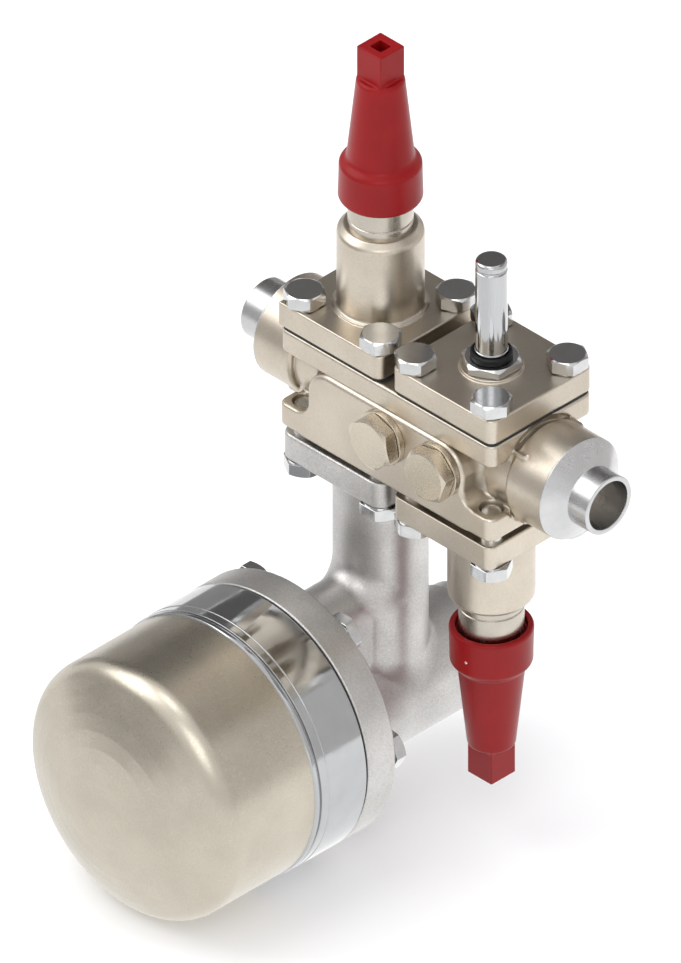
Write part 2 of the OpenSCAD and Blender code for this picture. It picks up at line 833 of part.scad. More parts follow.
float_x = inlet_x;
column_top = half_h + lower_gap;
barrel_r = barrel_d / 2;
rim_r = barrel_r - 1.5;
barrel_bore_r = barrel_r - 6.5;
chamber_r = chamber_d / 2;
chamber_bolt_r = chamber_r - chamber_bolt_edge;
mouth_r = chamber_bolt_r - bolt_d / 2 - 4;
dome_d = chamber_d - 2 * dome_step;
chamber_back = chamber_face - chamber_flange_t;
gasket_y = 1;
ring_y = chamber_face + gasket_y;
dome_y = ring_y + ring_l;
pin_y = chamber_face + 12;
pin_z = barrel_drop - lever_arm - 0.5;
needle_z = pin_z + lever_arm;
cross_pin_d = 2;
ear_t = 3;
ear_gap = 16;
prong_t = 3;
prong_x = orifice_d / 2 + free_gap;
plug_seal_t = 1.5;
rear_plug_l = 16;

// Forward along the chamber is -Y, so a shape is drawn up from z = 0 and tipped forward
module facing_front(y, drop) {
    translate([float_x, -y, -drop]) rotate([90, 0, 0]) children();
}

module at_chamber_bolts() {
    for (i = [0:chamber_bolts_n - 1])
        rotate([0, 0, 360 * i / chamber_bolts_n]) translate([chamber_bolt_r, 0, 0]) children();
}

module float_gasket() {
    color("#2a2b2d") translate([float_x, 0, -half_h - gasket_t])
        tube(port_r + 4, port_r + 0.5, gasket_t);
}

module float_outside() {
    on_bottom(float_x) {
        soft_plate(cover_w, cover_w, float_flange_t, 6.5, edge_round);
        translate([0, 0, -land_h]) cylinder(r = port_r + 4, h = land_h + 1);
    }
    translate([float_x, 0, -barrel_drop]) cylinder(d = column_d, h = barrel_drop - column_top - 1);
    facing_front(-barrel_back + 7, barrel_drop) cylinder(r = barrel_r, h = barrel_back - 7 + chamber_back + 1);
    facing_front(-barrel_back, barrel_drop)
        rotate_extrude()
            polygon([[0, 0], [rim_r - 0.8, 0], [rim_r, 0.8], [rim_r, 6], [barrel_r, 7.2], [0, 7.2]]);
    facing_front(0, vent_drop) cylinder(d = vent_d, h = chamber_back + 1);
    translate([float_x - vent_d / 2, -chamber_back - 1, -barrel_drop])
        cube([vent_d, chamber_back, barrel_drop - vent_drop]);
    facing_front(chamber_back, chamber_drop) cylinder(r = chamber_r, h = chamber_flange_t);
}

module float_body() {
    color("#a4a5a8")
    difference() {
        float_outside();
        translate([float_x, 0, -barrel_drop]) cylinder(d = column_bore, h = barrel_drop);
        facing_front(-barrel_back - 1, barrel_drop) cylinder(r = barrel_bore_r, h = barrel_back + chamber_face + 2);
        facing_front(0, vent_drop) cylinder(d = vent_bore, h = chamber_face + 1);
        facing_front(chamber_back + 8, chamber_drop) cylinder(r = mouth_r, h = chamber_flange_t);
        facing_front(chamber_back - 1, chamber_drop)
            at_chamber_bolts() cylinder(r = bolt_d / 2 + bolt_gap, h = chamber_flange_t + 2);
        on_bottom(float_x) translate([0, 0, -1])
            at_bolts() cylinder(r = bolt_d / 2 + bolt_gap, h = float_flange_t + 2);
    }
}

module float_body_bolts() {
    color("#c7c9cc") on_bottom(float_x) translate([0, 0, float_flange_t])
        at_bolts() bolt(bolt_d, float_flange_t + lower_gap + flange_t - 1.5, bolt_af, bolt_head_h);
}

module riser_tube() {
    top_z = -partition_t / 2 - 6;
    foot_z = -barrel_drop + barrel_bore_r - 3;
    color("#b0b2b4") translate([float_x, 0, foot_z]) tube(riser_d / 2, riser_d / 2 - 1.5, top_z - foot_z);
}

module rear_plug() {
    color("#b4b6b8") facing_front(-barrel_back, barrel_drop)
    difference() {
        union() {
            cylinder(r = barrel_bore_r - thread_gap, h = rear_plug_l);
            translate([0, 0, -plug_seal_t - 4]) cylinder(r = barrel_bore_r + 3, h = 4);
            translate([0, 0, -plug_seal_t]) cylinder(r = barrel_bore_r - 1, h = plug_seal_t + 1);
        }
        translate([0, 0, -plug_seal_t - 5]) hexagon(14, 12);
    }
}

module rear_plug_seal() {
    color("#8f8b84") facing_front(-barrel_back, barrel_drop) translate([0, 0, -plug_seal_t])
        tube(barrel_bore_r + 3, barrel_bore_r - 0.5, plug_seal_t);
}

module chamber_gasket() {
    color("#222325") facing_front(chamber_face, chamber_drop)
    difference() {
        tube(chamber_r - 0.6, mouth_r, gasket_y);
        translate([0, 0, -1]) at_chamber_bolts() cylinder(r = bolt_d / 2 + bolt_gap, h = gasket_y + 2);
    }
}

module chamber_ring() {
    step_y = ring_l - 7.8;
    groove_y = ring_l - 3.6;
    color("#c3c5c8") facing_front(ring_y, chamber_drop)
    difference() {
        rotate_extrude()
            polygon([
                [mouth_r, 0], [chamber_r - 0.4, 0], [chamber_r, 0.4],
                [chamber_r, step_y], [chamber_r - 0.25, step_y + 0.15], [chamber_r - 0.25, groove_y],
                [chamber_r - 1.3, groove_y + 0.3], [chamber_r - 1.3, groove_y + 0.8],
                [chamber_r - 0.5, groove_y + 1], [chamber_r - 0.15, groove_y + 1.7],
                [chamber_r - 0.3, ring_l - 0.6], [dome_d / 2, ring_l],
                [dome_d / 2 - dome_wall, ring_l], [mouth_r, ring_l - 8]]);
        translate([0, 0, -1]) at_chamber_bolts()
            cylinder(r = bolt_d / 2 + thread_gap, h = 15);
    }
}

// Points on the outline of a dome of radius r and length l, whose rounded corner
// runs smoothly into the wall and into the crown
function dome_outline(r, l, corner, crown) =
    let (crown_y = l - crown,
         corner_x = r - corner,
         corner_y = crown_y + sqrt(pow(crown - corner, 2) - pow(corner_x, 2)),
         lean = atan2(corner_x, corner_y - crown_y),
         corner_steps = 12,
         crown_steps = 6)
    concat(
        [[0, 0], [r, 0]],
        [for (i = [0:corner_steps])
            let (a = i * (90 - lean) / corner_steps)
                [corner_x + corner * cos(a), corner_y + corner * sin(a)]],
        [for (i = [crown_steps - 1:-1:0])
            let (a = lean * i / crown_steps) [crown * sin(a), crown_y + crown * cos(a)]]);

module chamber_dome() {
    color("#b3aa9c") facing_front(dome_y, chamber_drop)
        difference() {
            rotate_extrude() polygon(dome_outline(dome_d / 2, dome_l, dome_corner, dome_crown));
            translate([0, 0, -eps])
                rotate_extrude()
                    polygon(dome_outline(dome_d / 2 - dome_wall, dome_l - dome_wall + eps,
                                         dome_corner - dome_wall, dome_crown - dome_wall));
        }
}

module chamber_bolts() {
    color("#c7c9cc") facing_front(chamber_back, chamber_drop)
        at_chamber_bolts() mirror([0, 0, 1])
            bolt(bolt_d, chamber_flange_t + gasket_y + 11, bolt_af, bolt_head_h);
}

module orifice_body() {
    length = chamber_face + 2;
    color("#a7a9ab")
    difference() {
        facing_front(-riser_d / 2 - 6, barrel_drop)
            cylinder(r = barrel_bore_r - 0.1, h = length + riser_d / 2 + 6);
        facing_front(-riser_d / 2, barrel_drop) cylinder(r = 7, h = length + riser_d / 2 - 6);
        facing_front(0, needle_z) cylinder(d = orifice_d, h = length + 2);
        translate([float_x, 0, -barrel_drop]) cylinder(r = riser_d / 2 + running_gap, h = barrel_r);
    }
}

module float_bracket() {
    base_t = 3;
    base_h = 26;
    reach = pin_y - chamber_face - 2;
    color("#b0b2b4")
    translate([float_x, -chamber_face - 2, 0])
    difference() {
        union() {
            translate([-ear_gap / 2 - ear_t, -base_t, -needle_z - 8])
                cube([ear_gap + 2 * ear_t, base_t, base_h]);
            for (s = [-1, 1])
                translate([s * (ear_gap + ear_t) / 2, 0, 0]) {
                    translate([-ear_t / 2, -reach, -pin_z - 6]) cube([ear_t, reach, 12]);
                    translate([0, -reach, -pin_z]) rotate([0, 90, 0])
                        cylinder(r = 6, h = ear_t, center = true);
                }
        }
        translate([0, -reach, -pin_z]) rotate([0, 90, 0])
            cylinder(r = pin_d / 2 + 0.02, h = ear_gap * 2, center = true);
        translate([0, 1, -needle_z]) rotate([90, 0, 0]) cylinder(r = orifice_d / 2 + 2, h = base_t + 2);
    }
}

module float_pin() {
    color("#c4c5c7") translate([float_x, -pin_y, -pin_z]) rotate([0, 90, 0])
        cylinder(d = pin_d, h = ear_gap + 2 * ear_t + 2, center = true);
}

module float_arm() {
    color("#b0b2b4") translate([float_x, -pin_y, -pin_z])
    difference() {
        union() {
            rotate([0, 90, 0]) cylinder(r = pin_d / 2 + 3, h = ear_gap - 2, center = true);
            rotate([90 + atan2(arm_drop, arm_reach), 0, 0])
                cylinder(r = 2.6, h = norm([arm_reach, arm_drop]));
            for (s = [-1, 1])
                translate([s * (prong_x + prong_t / 2), 0, -lever_arm + 1])
                    cube([prong_t, 8, lever_arm + 2], center = true);
        }
        rotate([0, 90, 0]) cylinder(r = pin_d / 2 + running_gap, h = ear_gap, center = true);
        // Slots in which the needle's cross pin rides
        translate([0, 0, -lever_arm - 1.6]) cube([ear_gap, cross_pin_d + 1.4, 8], center = true);
        translate([0, -arm_reach, -arm_drop]) sphere(d = ball_d);
    }
}

module float_ball() {
    color("#b9bbbd") translate([float_x, -pin_y - arm_reach, -pin_z - arm_drop])
    difference() {
        sphere(d = ball_d);
        sphere(d = ball_d - 2 * ball_wall);
    }
}

module orifice_needle() {
    tip = chamber_face - 4;
    length = pin_y + 2 - tip;
    color("#c4c5c7") facing_front(tip, needle_z) {
        rotate_extrude()
            polygon([
                [0, 0], [orifice_d / 2 - 1.2, 0], [orifice_d / 2 - running_gap, 4],
                [orifice_d / 2 - running_gap, length], [0, length]]);
        translate([0, 0, pin_y - tip]) rotate([0, 90, 0])
            cylinder(d = cross_pin_d, h = 2 * (prong_x + prong_t) + 0.3, center = true);
    }
}

valve_housing();
side_plugs();
plug_washers();
inlet_seat_ring();
inlet_gasket();
inlet_bonnet();
inlet_bonnet_bolts();
inlet_packing_rings();
inlet_gland_nut();
inlet_spindle();
inlet_valve_cone();
inlet_cone_seal();
inlet_cap_seal();
inlet_cap();
outlet_seat_ring();
outlet_gasket();
outlet_bonnet();
outlet_bonnet_bolts();
outlet_packing_rings();
outlet_gland_nut();
outlet_spindle();
outlet_valve_cone();
outlet_cone_seal();
outlet_cap_seal();
outlet_cap();
solenoid_gasket();
solenoid_cover();
solenoid_cover_bolts();
solenoid_cage();
armature_tube();
tube_o_ring();
armature();
armature_spring();
main_piston();
piston_ring();
piston_spring();
float_gasket();
float_body();
float_body_bolts();
riser_tube();
rear_plug();
rear_plug_seal();
chamber_gasket();
chamber_ring();
chamber_dome();
chamber_bolts();
orifice_body();
float_bracket();
float_pin();
float_arm();
float_ball();
orifice_needle();
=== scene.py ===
import math

import bpy
import numpy as np
from mathutils import Matrix, Vector


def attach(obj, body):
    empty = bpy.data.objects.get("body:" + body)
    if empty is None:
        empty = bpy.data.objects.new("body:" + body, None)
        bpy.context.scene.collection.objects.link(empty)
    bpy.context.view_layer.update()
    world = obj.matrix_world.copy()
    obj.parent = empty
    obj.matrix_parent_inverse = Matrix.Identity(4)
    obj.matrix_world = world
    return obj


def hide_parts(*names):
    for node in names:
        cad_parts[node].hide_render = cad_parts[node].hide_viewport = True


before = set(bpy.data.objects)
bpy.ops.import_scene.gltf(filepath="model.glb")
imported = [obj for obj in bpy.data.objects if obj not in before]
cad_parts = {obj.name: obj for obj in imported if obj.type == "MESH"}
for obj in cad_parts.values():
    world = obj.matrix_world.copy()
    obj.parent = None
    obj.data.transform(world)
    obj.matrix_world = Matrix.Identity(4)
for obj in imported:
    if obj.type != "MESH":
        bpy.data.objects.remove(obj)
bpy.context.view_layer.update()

# The studio: a parallel camera looking down from the front right, as in the photograph, a pale
# floor and soft boxes. Grey flags and a light table on the floor show only as reflections in the
# metal. Sizes are millimetres in the CAD frame; those of the studio's own pieces are metres.
MM = 0.001
PHOTO_HEIGHT = 963
PIXELS_PER_MM = 2.412
LOOK_AT = Vector((73.2, -28.0, -38.3)) * MM
TOWARDS_CAMERA = Vector((1, -1, 1)).normalized()
FLOOR_Z = -201.5
CAMERA_DISTANCE, FLOOR_SIDE, TABLE_SIDE, TABLE_LIFT = 1.5, 6, 1.1, 0.001


def linear(colour, alpha=1.0):
    """An sRGB hex colour as the linear values that Blender's sockets take."""
    parts = [int(colour[i:i + 2], 16) / 255 for i in (1, 3, 5)]
    return [c / 12.92 if c <= 0.04045 else ((c + 0.055) / 1.055) ** 2.4 for c in parts] + [alpha]


def add(tree, kind, inputs=None, **settings):
    """Adds a node with its settings. An input is a value, or another node's output to link."""
    new = tree.nodes.new(kind)
    for key, value in settings.items():
        setattr(new, key, value)
    for key, value in (inputs or {}).items():
        if isinstance(value, bpy.types.NodeSocket):
            tree.links.new(value, new.inputs[key])
        else:
            new.inputs[key].default_value = value
    return new


def empty_material(name):
    material = bpy.data.materials.new(name)
    material.use_nodes = True
    material.node_tree.nodes.clear()
    return material, material.node_tree


camera_data = bpy.data.cameras.new("camera")
camera_data.type = "ORTHO"
camera_data.ortho_scale = PHOTO_HEIGHT / PIXELS_PER_MM * MM
camera_data.clip_end = 10
camera = bpy.data.objects.new("camera", camera_data)
camera.location = LOOK_AT + TOWARDS_CAMERA * CAMERA_DISTANCE
camera.rotation_euler = TOWARDS_CAMERA.to_track_quat("Z", "Y").to_euler()
bpy.context.scene.collection.objects.link(camera)
bpy.context.scene.camera = camera
bpy.context.scene.view_settings.view_transform = "Standard"

world = bpy.data.worlds.new("studio")
world.use_nodes = True
bpy.context.scene.world = world
tree = world.node_tree
tree.nodes.clear()
rays = add(tree, "ShaderNodeLightPath")
seen = add(tree, "ShaderNodeMath", {0: rays.outputs["Is Camera Ray"], 1: rays.outputs["Is Glossy Ray"]},
           operation="MAXIMUM")
seen = add(tree, "ShaderNodeMath", {0: seen.outputs[0], 1: rays.outputs["Is Transmission Ray"]},
           operation="MAXIMUM")
fill = add(tree, "ShaderNodeBackground", {"Color": linear("#f8f8fa"), "Strength": 1.2})
white = add(tree, "ShaderNodeBackground", {"Color": linear("#ffffff"), "Strength": 1.0})
mix = add(tree, "ShaderNodeMixShader", {0: seen.outputs[0], 1: fill.outputs[0], 2: white.outputs[0]})
add(tree, "ShaderNodeOutputWorld", {"Surface": mix.outputs[0]})


def stage_card(name, centre, facing, width, height, material):
    """A flat card of the studio, turned towards a point."""
    mesh = bpy.data.meshes.new(name)
    w, h = width / 2, height / 2
    mesh.from_pydata([(-w, -h, 0), (w, -h, 0), (w, h, 0), (-w, h, 0)], [], [(0, 1, 2, 3)])
    mesh.materials.append(material)
    card = bpy.data.objects.new(name, mesh)
    card.location = centre
    card.rotation_euler = (Vector(facing) - Vector(centre)).to_track_quat("Z", "Y").to_euler()
    bpy.context.scene.collection.objects.link(card)
    return card


floor_paint, tree = empty_material("matt white floor paint")
shader = add(tree, "ShaderNodeBsdfPrincipled", {"Base Color": linear("#f6f6f6"), "Roughness": 0.9})
add(tree, "ShaderNodeOutputMaterial", {"Surface": shader.outputs[0]})
floor_centre = Vector((100, 0, FLOOR_Z)) * MM
upwards = Vector((0, 0, 1))
stage_card("floor", floor_centre, floor_centre + upwards, FLOOR_SIDE, FLOOR_SIDE, floor_paint)

# name, colour, direction from the object, distance, width, height
FLAGS = [("back_flag", "#656361", Vector((-1, 1, 1.15)), 0.95, 1.3, 0.75),
         ("low_back_flag", "#959391", Vector((-1, 1, 0.05)), 1.0, 1.5, 0.5),
         ("right_flag", "#cdcbc9", Vector((0.85, 0.85, 0.22)), 0.4, 0.9, 0.4),
         ("high_right_flag", "#959391", Vector((0.35, 0.62, 0.8)), 0.95, 0.9, 0.5),
         ("front_flag", "#b0aeac", Vector((-0.6, -0.8, 0.06)), 0.75, 1.2, 0.6)]
for name, colour, direction, distance, width, height in FLAGS:
    flag_cloth, tree = empty_material(name.replace("_", " ") + " cloth")
    shader = add(tree, "ShaderNodeBsdfPrincipled", {"Base Color": linear(colour), "Roughness": 1.0})
    add(tree, "ShaderNodeOutputMaterial", {"Surface": shader.outputs[0]})
    flag = stage_card(name, LOOK_AT + direction.normalized() * distance, LOOK_AT, width, height, flag_cloth)
    flag.visible_camera = flag.visible_diffuse = flag.visible_shadow = False

light_table, tree = empty_material("white light table")
place = add(tree, "ShaderNodeTexCoord").outputs["Object"]  # the table is a little brighter in front
towards_back = add(tree, "ShaderNodeVectorMath", {0: place, 1: (0.7, 0.7, 0)}, operation="DOT_PRODUCT")
level = add(tree, "ShaderNodeMapRange", {0: towards_back.outputs["Value"], 1: -0.2, 2: 0.2, 3: 1.42, 4: 1.2})
shader = add(tree, "ShaderNodeEmission", {"Color": linear("#ffffff"), "Strength": level.outputs[0]})
add(tree, "ShaderNodeOutputMaterial", {"Surface": shader.outputs[0]})
table = stage_card("light_table", floor_centre + upwards * TABLE_LIFT, floor_centre + upwards, TABLE_SIDE,
                   TABLE_SIDE, light_table)
table.visible_camera = table.visible_diffuse = table.visible_shadow = False

# name, direction from the object, distance, side, watts
SOFT_BOXES = [("key_box", Vector((-0.52, -0.42, 0.74)), 1.3, 0.95, 6),
              ("top_box", Vector((0.0, -0.12, 1.0)), 1.3, 0.45, 1.6),
              ("camera_box", Vector((1, -1, 1.1)), 1.4, 0.7, 2.6)]
for name, direction, distance, side, watts in SOFT_BOXES:
    light = bpy.data.lights.new(name, "AREA")
    light.size = side
    light.energy = watts
    lamp = bpy.data.objects.new(name, light)
    lamp.location = LOOK_AT + direction.normalized() * distance
    lamp.rotation_euler = direction.to_track_quat("Z", "Y").to_euler()
    bpy.context.scene.collection.objects.link(lamp)

# The valve housing: one steel casting, shot blasted and then nickel plated, with square flanges
# above and below, a narrow waist, a round-ended boss at the front and a neck at each end. The
# sand mould leaves every outer edge rounded and a hollow fillet in every inner corner.
MIDDLE_X = 101.2
INLET_X, OUTLET_X = 68.7, 133.7
HALF_HEIGHT, FLANGE_T = 24.0, 11.0
FLANGE_HALF_X, FLANGE_HALF_Y, FLANGE_CORNER, CAST_EDGE = 62.5, 30.0, 4.5, 1.4
WAIST_HALF_X, WAIST_HALF_Y, WAIST_FOOT = 53.0, 16.5, 3.0
BOSS_R, BOSS_PROUD, BOSS_EDGE, BOSS_BLEND = 13.0, 0.7, 2.5, 7.0
PAD_HALF, PAD_REACH, PAD_EDGE = 17.3, 7.0, 0.6
NECK_R, NECK_START, NECK_EDGE = 23.2, 17.3, 2.5
PORT_R, PARTITION_T, SEAT_R = 19.0, 6.0, 9.0
BOLT_SPACING, BOLT_HOLE_R = 44.6, 5.05


def rounded_rectangle(x, y, half_x, half_y, r):
    """Distance to a rectangle with rounded corners, for arrays of points."""
    qx, qy = np.abs(x) - half_x + r, np.abs(y) - half_y + r
    return np.minimum(np.maximum(qx, qy), 0) + np.hypot(np.maximum(qx, 0), np.maximum(qy, 0)) - r


def slab(outline, z, half, r):
    """Distance to an outline stretched along z to both sides, with rounded edges."""
    qa, qb = outline + r, np.abs(z) - half + r
    return np.minimum(np.maximum(qa, qb), 0) + np.hypot(np.maximum(qa, 0), np.maximum(qb, 0)) - r


def joined(a, b, r):
    """Two shapes as one casting, with a hollow fillet of radius r between them."""
    return np.maximum(r, np.minimum(a, b)) - np.hypot(np.maximum(r - a, 0), np.maximum(r - b, 0))


def cut(a, b, r):
    """Shape a with b cut away, and the edge of the cut broken by radius r."""
    return -joined(-a, b, r)


def housing_field(x, y, z):
    run = x - MIDDLE_X
    flange_z = HALF_HEIGHT - FLANGE_T / 2
    front = -FLANGE_HALF_Y - BOSS_PROUD
    top = slab(rounded_rectangle(run, y, FLANGE_HALF_X, FLANGE_HALF_Y, FLANGE_CORNER),
               z - flange_z, FLANGE_T / 2, CAST_EDGE)
    bottom = slab(rounded_rectangle(run, y + BOSS_PROUD / 2, FLANGE_HALF_X,
                                    FLANGE_HALF_Y + BOSS_PROUD / 2, FLANGE_CORNER),
                  z + flange_z, FLANGE_T / 2, CAST_EDGE)
    waist = slab(rounded_rectangle(run, y, WAIST_HALF_X, WAIST_HALF_Y, 3), z, HALF_HEIGHT - 3, 0.5)
    body = joined(waist, bottom, WAIST_FOOT)
    from_face = MIDDLE_X - np.abs(run)
    r = np.hypot(y, z)
    behind_face = from_face - MIDDLE_X + FLANGE_HALF_X
    neck = slab(r - NECK_R, behind_face + 12, 12, NECK_EDGE)
    core = np.maximum(r - NECK_R + NECK_EDGE, behind_face - FLANGE_HALF_X + WAIST_HALF_X - 4)
    neck = np.maximum(joined(neck, core, 0.3), NECK_START - from_face)
    slot = slab(np.abs(r - NECK_R + 0.8) - 1.7, behind_face - 0.6, 1.4, 0.6)
    boss = np.minimum(np.hypot(np.maximum(np.abs(run) - (OUTLET_X - INLET_X) / 2, 0), z) - BOSS_R,
                      rounded_rectangle(run, z + 10, (OUTLET_X - INLET_X) / 2 + BOSS_R, 10, 0.1))
    boss = slab(boss, y - front - 8, 8, BOSS_EDGE)
    body = np.maximum(joined(body, boss, BOSS_BLEND), front - y)
    body = joined(cut(joined(body, top, 0.5), slot, 0.8), neck, 0.3)
    pad = slab(rounded_rectangle(y, z, PAD_HALF, PAD_HALF, PAD_EDGE), run, FLANGE_HALF_X + PAD_REACH, PAD_EDGE)
    body = joined(body, pad, 0.6)
    side = np.minimum(np.abs(x - INLET_X), np.abs(x - OUTLET_X))
    from_port = np.hypot(side, y)
    # The ports are wider than the waist and open its back wall, as they do in the CAD.
    body = cut(body, slab(from_port - PORT_R, np.abs(z) - PARTITION_T / 2 - 12.5, 12.5, 0.3), 0.5)
    body = np.maximum(body, SEAT_R - from_port)
    from_hole = np.hypot(side - BOLT_SPACING / 2, np.abs(y) - BOLT_SPACING / 2)
    hole = np.maximum(from_hole - BOLT_HOLE_R, z + HALF_HEIGHT - FLANGE_T - 1.5)
    return cut(body, hole, 0.4)


def field_slope(field, points, reach=0.04):
    """The direction in which a field grows at each point."""
    slope = np.empty_like(points)
    for k in range(3):
        step = np.zeros(3)
        step[k] = reach
        slope[:, k] = field(*(points + step).T) - field(*(points - step).T)
    return slope / (2 * reach)


def cast_mesh(name, field, low, high, step, keep):
    """A closed mesh of a field's surface on a grid of step millimetres. Its points are moved onto
    the surface, a share of the faces is kept, and the shading follows the field itself."""
    axes = [np.arange(a, b + step, step) for a, b in zip(low, high)]
    d = field(*np.meshgrid(*axes, indexing="ij"))
    cells = [len(a) - 1 for a in axes]
    total, count = np.zeros(cells + [3]), np.zeros(cells, int)
    for axis in range(3):
        others = [k for k in range(3) if k != axis]
        for near, far in ((0, 0), (0, 1), (1, 0), (1, 1)):
            start = [0, 0, 0]
            start[others[0]], start[others[1]] = near, far
            end = [s + (k == axis) for k, s in enumerate(start)]
            a = d[tuple(slice(s, s + n) for s, n in zip(start, cells))]
            b = d[tuple(slice(s, s + n) for s, n in zip(end, cells))]
            at = np.nonzero((a < 0) != (b < 0))
            share = a[at] / (a[at] - b[at])
            for k in range(3):
                total[at + (k,)] += start[k] + (share if k == axis else 0)
            count[at] += 1
    crossed = count > 0
    number = np.full(cells, -1)
    number[crossed] = np.arange(crossed.sum())
    points = np.array(low) + step * (np.argwhere(crossed) + total[crossed] / count[crossed][:, None])
    faces = []
    for axis in range(3):
        b, c = (axis + 1) % 3, (axis + 2) % 3
        lower, upper = [slice(1, n) for n in cells], [slice(1, n) for n in cells]
        lower[axis], upper[axis] = slice(0, cells[axis]), slice(1, cells[axis] + 1)
        inside, beyond = d[tuple(lower)] < 0, d[tuple(upper)] < 0
        for outward in (True, False):
            at = np.argwhere(inside & ~beyond if outward else ~inside & beyond)
            at[:, b] += 1
            at[:, c] += 1
            back = np.eye(3, dtype=int)
            ring = [at - back[b] - back[c], at - back[c], at, at - back[b]]
            quads = np.stack([number[tuple(q.T)] for q in ring], 1)
            faces.append(quads if outward else quads[:, ::-1])
    for _ in range(3):
        slope = field_slope(field, points)
        size = np.maximum(np.linalg.norm(slope, axis=1), 0.2)
        pull = np.clip(field(*points.T) / size, -step / 2, step / 2)
        points -= slope / size[:, None] * pull[:, None]
    mesh = bpy.data.meshes.new(name)
    mesh.from_pydata((points * MM).tolist(), [], np.concatenate(faces).tolist())
    piece = bpy.data.objects.new(name, mesh)
    bpy.context.scene.collection.objects.link(piece)
    if keep < 1:
        thin = piece.modifiers.new("thin", "DECIMATE")
        thin.ratio = keep
        thinned = bpy.data.meshes.new_from_object(piece.evaluated_get(bpy.context.evaluated_depsgraph_get()))
        piece.modifiers.clear()
        piece.data = thinned
        bpy.data.meshes.remove(mesh)
        mesh = thinned
    points = np.empty(len(mesh.vertices) * 3)
    mesh.vertices.foreach_get("co", points)
    slope = field_slope(field, points.reshape(-1, 3) / MM)
    slope /= np.maximum(np.linalg.norm(slope, axis=1), 1e-9)[:, None]
    mesh.shade_smooth()
    mesh.normals_split_custom_set_from_vertices(slope.tolist())
    return piece


def finished(piece, material, body, slot, *nodes):
    """Gives a piece its material and body, and hides the CAD nodes that it stands for."""
    piece.data.materials.clear()
    piece.data.materials.append(material)
    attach(piece, body)
    if nodes:
        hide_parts(*nodes)
    return piece


def satin_nickel(name, colour, shade, grain_mm, grain_depth_mm, roughness, specks=0.35):
    """Nickel over a blasted steel casting: warm, satin, with the casting's skin showing through.
    The grain is drawn a little coarser than the real 0.2 mm, so that it shows in the render."""
    material, tree = empty_material(name)
    place = add(tree, "ShaderNodeTexCoord").outputs["Object"]
    grain = add(tree, "ShaderNodeTexNoise", {"Vector": place, "Scale": 1 / (grain_mm * MM), "Detail": 4.0,
                                             "Roughness": 0.6})
    cloud = add(tree, "ShaderNodeTexNoise", {"Vector": place, "Scale": 1 / (22 * MM), "Detail": 3.0})
    tone = add(tree, "ShaderNodeMapRange", {0: cloud.outputs[0], 1: 0.35, 2: 0.65, 3: 0.0, 4: 0.45})
    speck = add(tree, "ShaderNodeMapRange", {0: grain.outputs[0], 1: 0.35, 2: 0.7, 3: 0.0, 4: specks})
    mixed = add(tree, "ShaderNodeMath", {0: tone.outputs[0], 1: speck.outputs[0]}, operation="ADD",
                use_clamp=True)
    tint = add(tree, "ShaderNodeMix", {0: mixed.outputs[0], 6: linear(colour), 7: linear(shade)},
               data_type="RGBA")
    rough = add(tree, "ShaderNodeMapRange", {0: grain.outputs[0], 1: 0.3, 2: 0.7, 3: roughness - 0.05,
                                             4: roughness + 0.06})
    bump = add(tree, "ShaderNodeBump", {"Height": grain.outputs[0], "Strength": 1.0,
                                        "Distance": grain_depth_mm * MM})
    shader = add(tree, "ShaderNodeBsdfPrincipled", {"Base Color": tint.outputs[2], "Metallic": 1.0,
                                                    "Roughness": rough.outputs[0], "Normal": bump.outputs[0]})
    add(tree, "ShaderNodeOutputMaterial", {"Surface": shader.outputs[0]})
    return material


nickel_casting = satin_nickel("satin nickel-plated steel casting", "#ccc3b5", "#b7aea1", 0.9, 0.025, 0.34)
housing = cast_mesh("housing_casting", housing_field, (15.5, -32.5, -26), (187, 32, 26), 0.8, 0.75)
finished(housing, nickel_casting, "station", "plated_casting", "valve_housing")

# The weld ends: the two necks of the same casting, turned on a lathe to a cone, a short tube and
# a bore. The cut steel is bare, bright and finely ringed by the tool.
WELD_TUBE_R, WELD_BORE_R, WELD_TUBE_L, WELD_CONE_L = 13.45, 11.15, 10.6, 6.6


def rounded_profile(points, r, steps=4):
    """A profile whose inner corners are rounded by radius r, where there is room."""
    out = [points[0]]
    for before, corner, after in zip(points, points[1:], points[2:]):
        p, c, n = (np.array(q, float) for q in (before, corner, after))
        to_p, to_n = p - c, n - c
        room = min(np.linalg.norm(to_p), np.linalg.norm(to_n)) * 0.45
        u, v = to_p / np.linalg.norm(to_p), to_n / np.linalg.norm(to_n)
        half = math.acos(np.clip(u @ v, -1, 1)) / 2
        if half > 1.5:
            out.append(tuple(c))
            continue
        back = min(r / math.tan(half), room)
        radius = back * math.tan(half)
        centre = c + (u + v) / np.linalg.norm(u + v) * radius / math.sin(half)
        start, end = c + u * back - centre, c + v * back - centre
        sweep = math.atan2(start[0] * end[1] - start[1] * end[0], start @ end)
        for i in range(steps + 1):
            a = sweep * i / steps
            turn = np.array([[math.cos(a), -math.sin(a)], [math.sin(a), math.cos(a)]])
            out.append(tuple(centre + turn @ start))
    return out + [points[-1]]


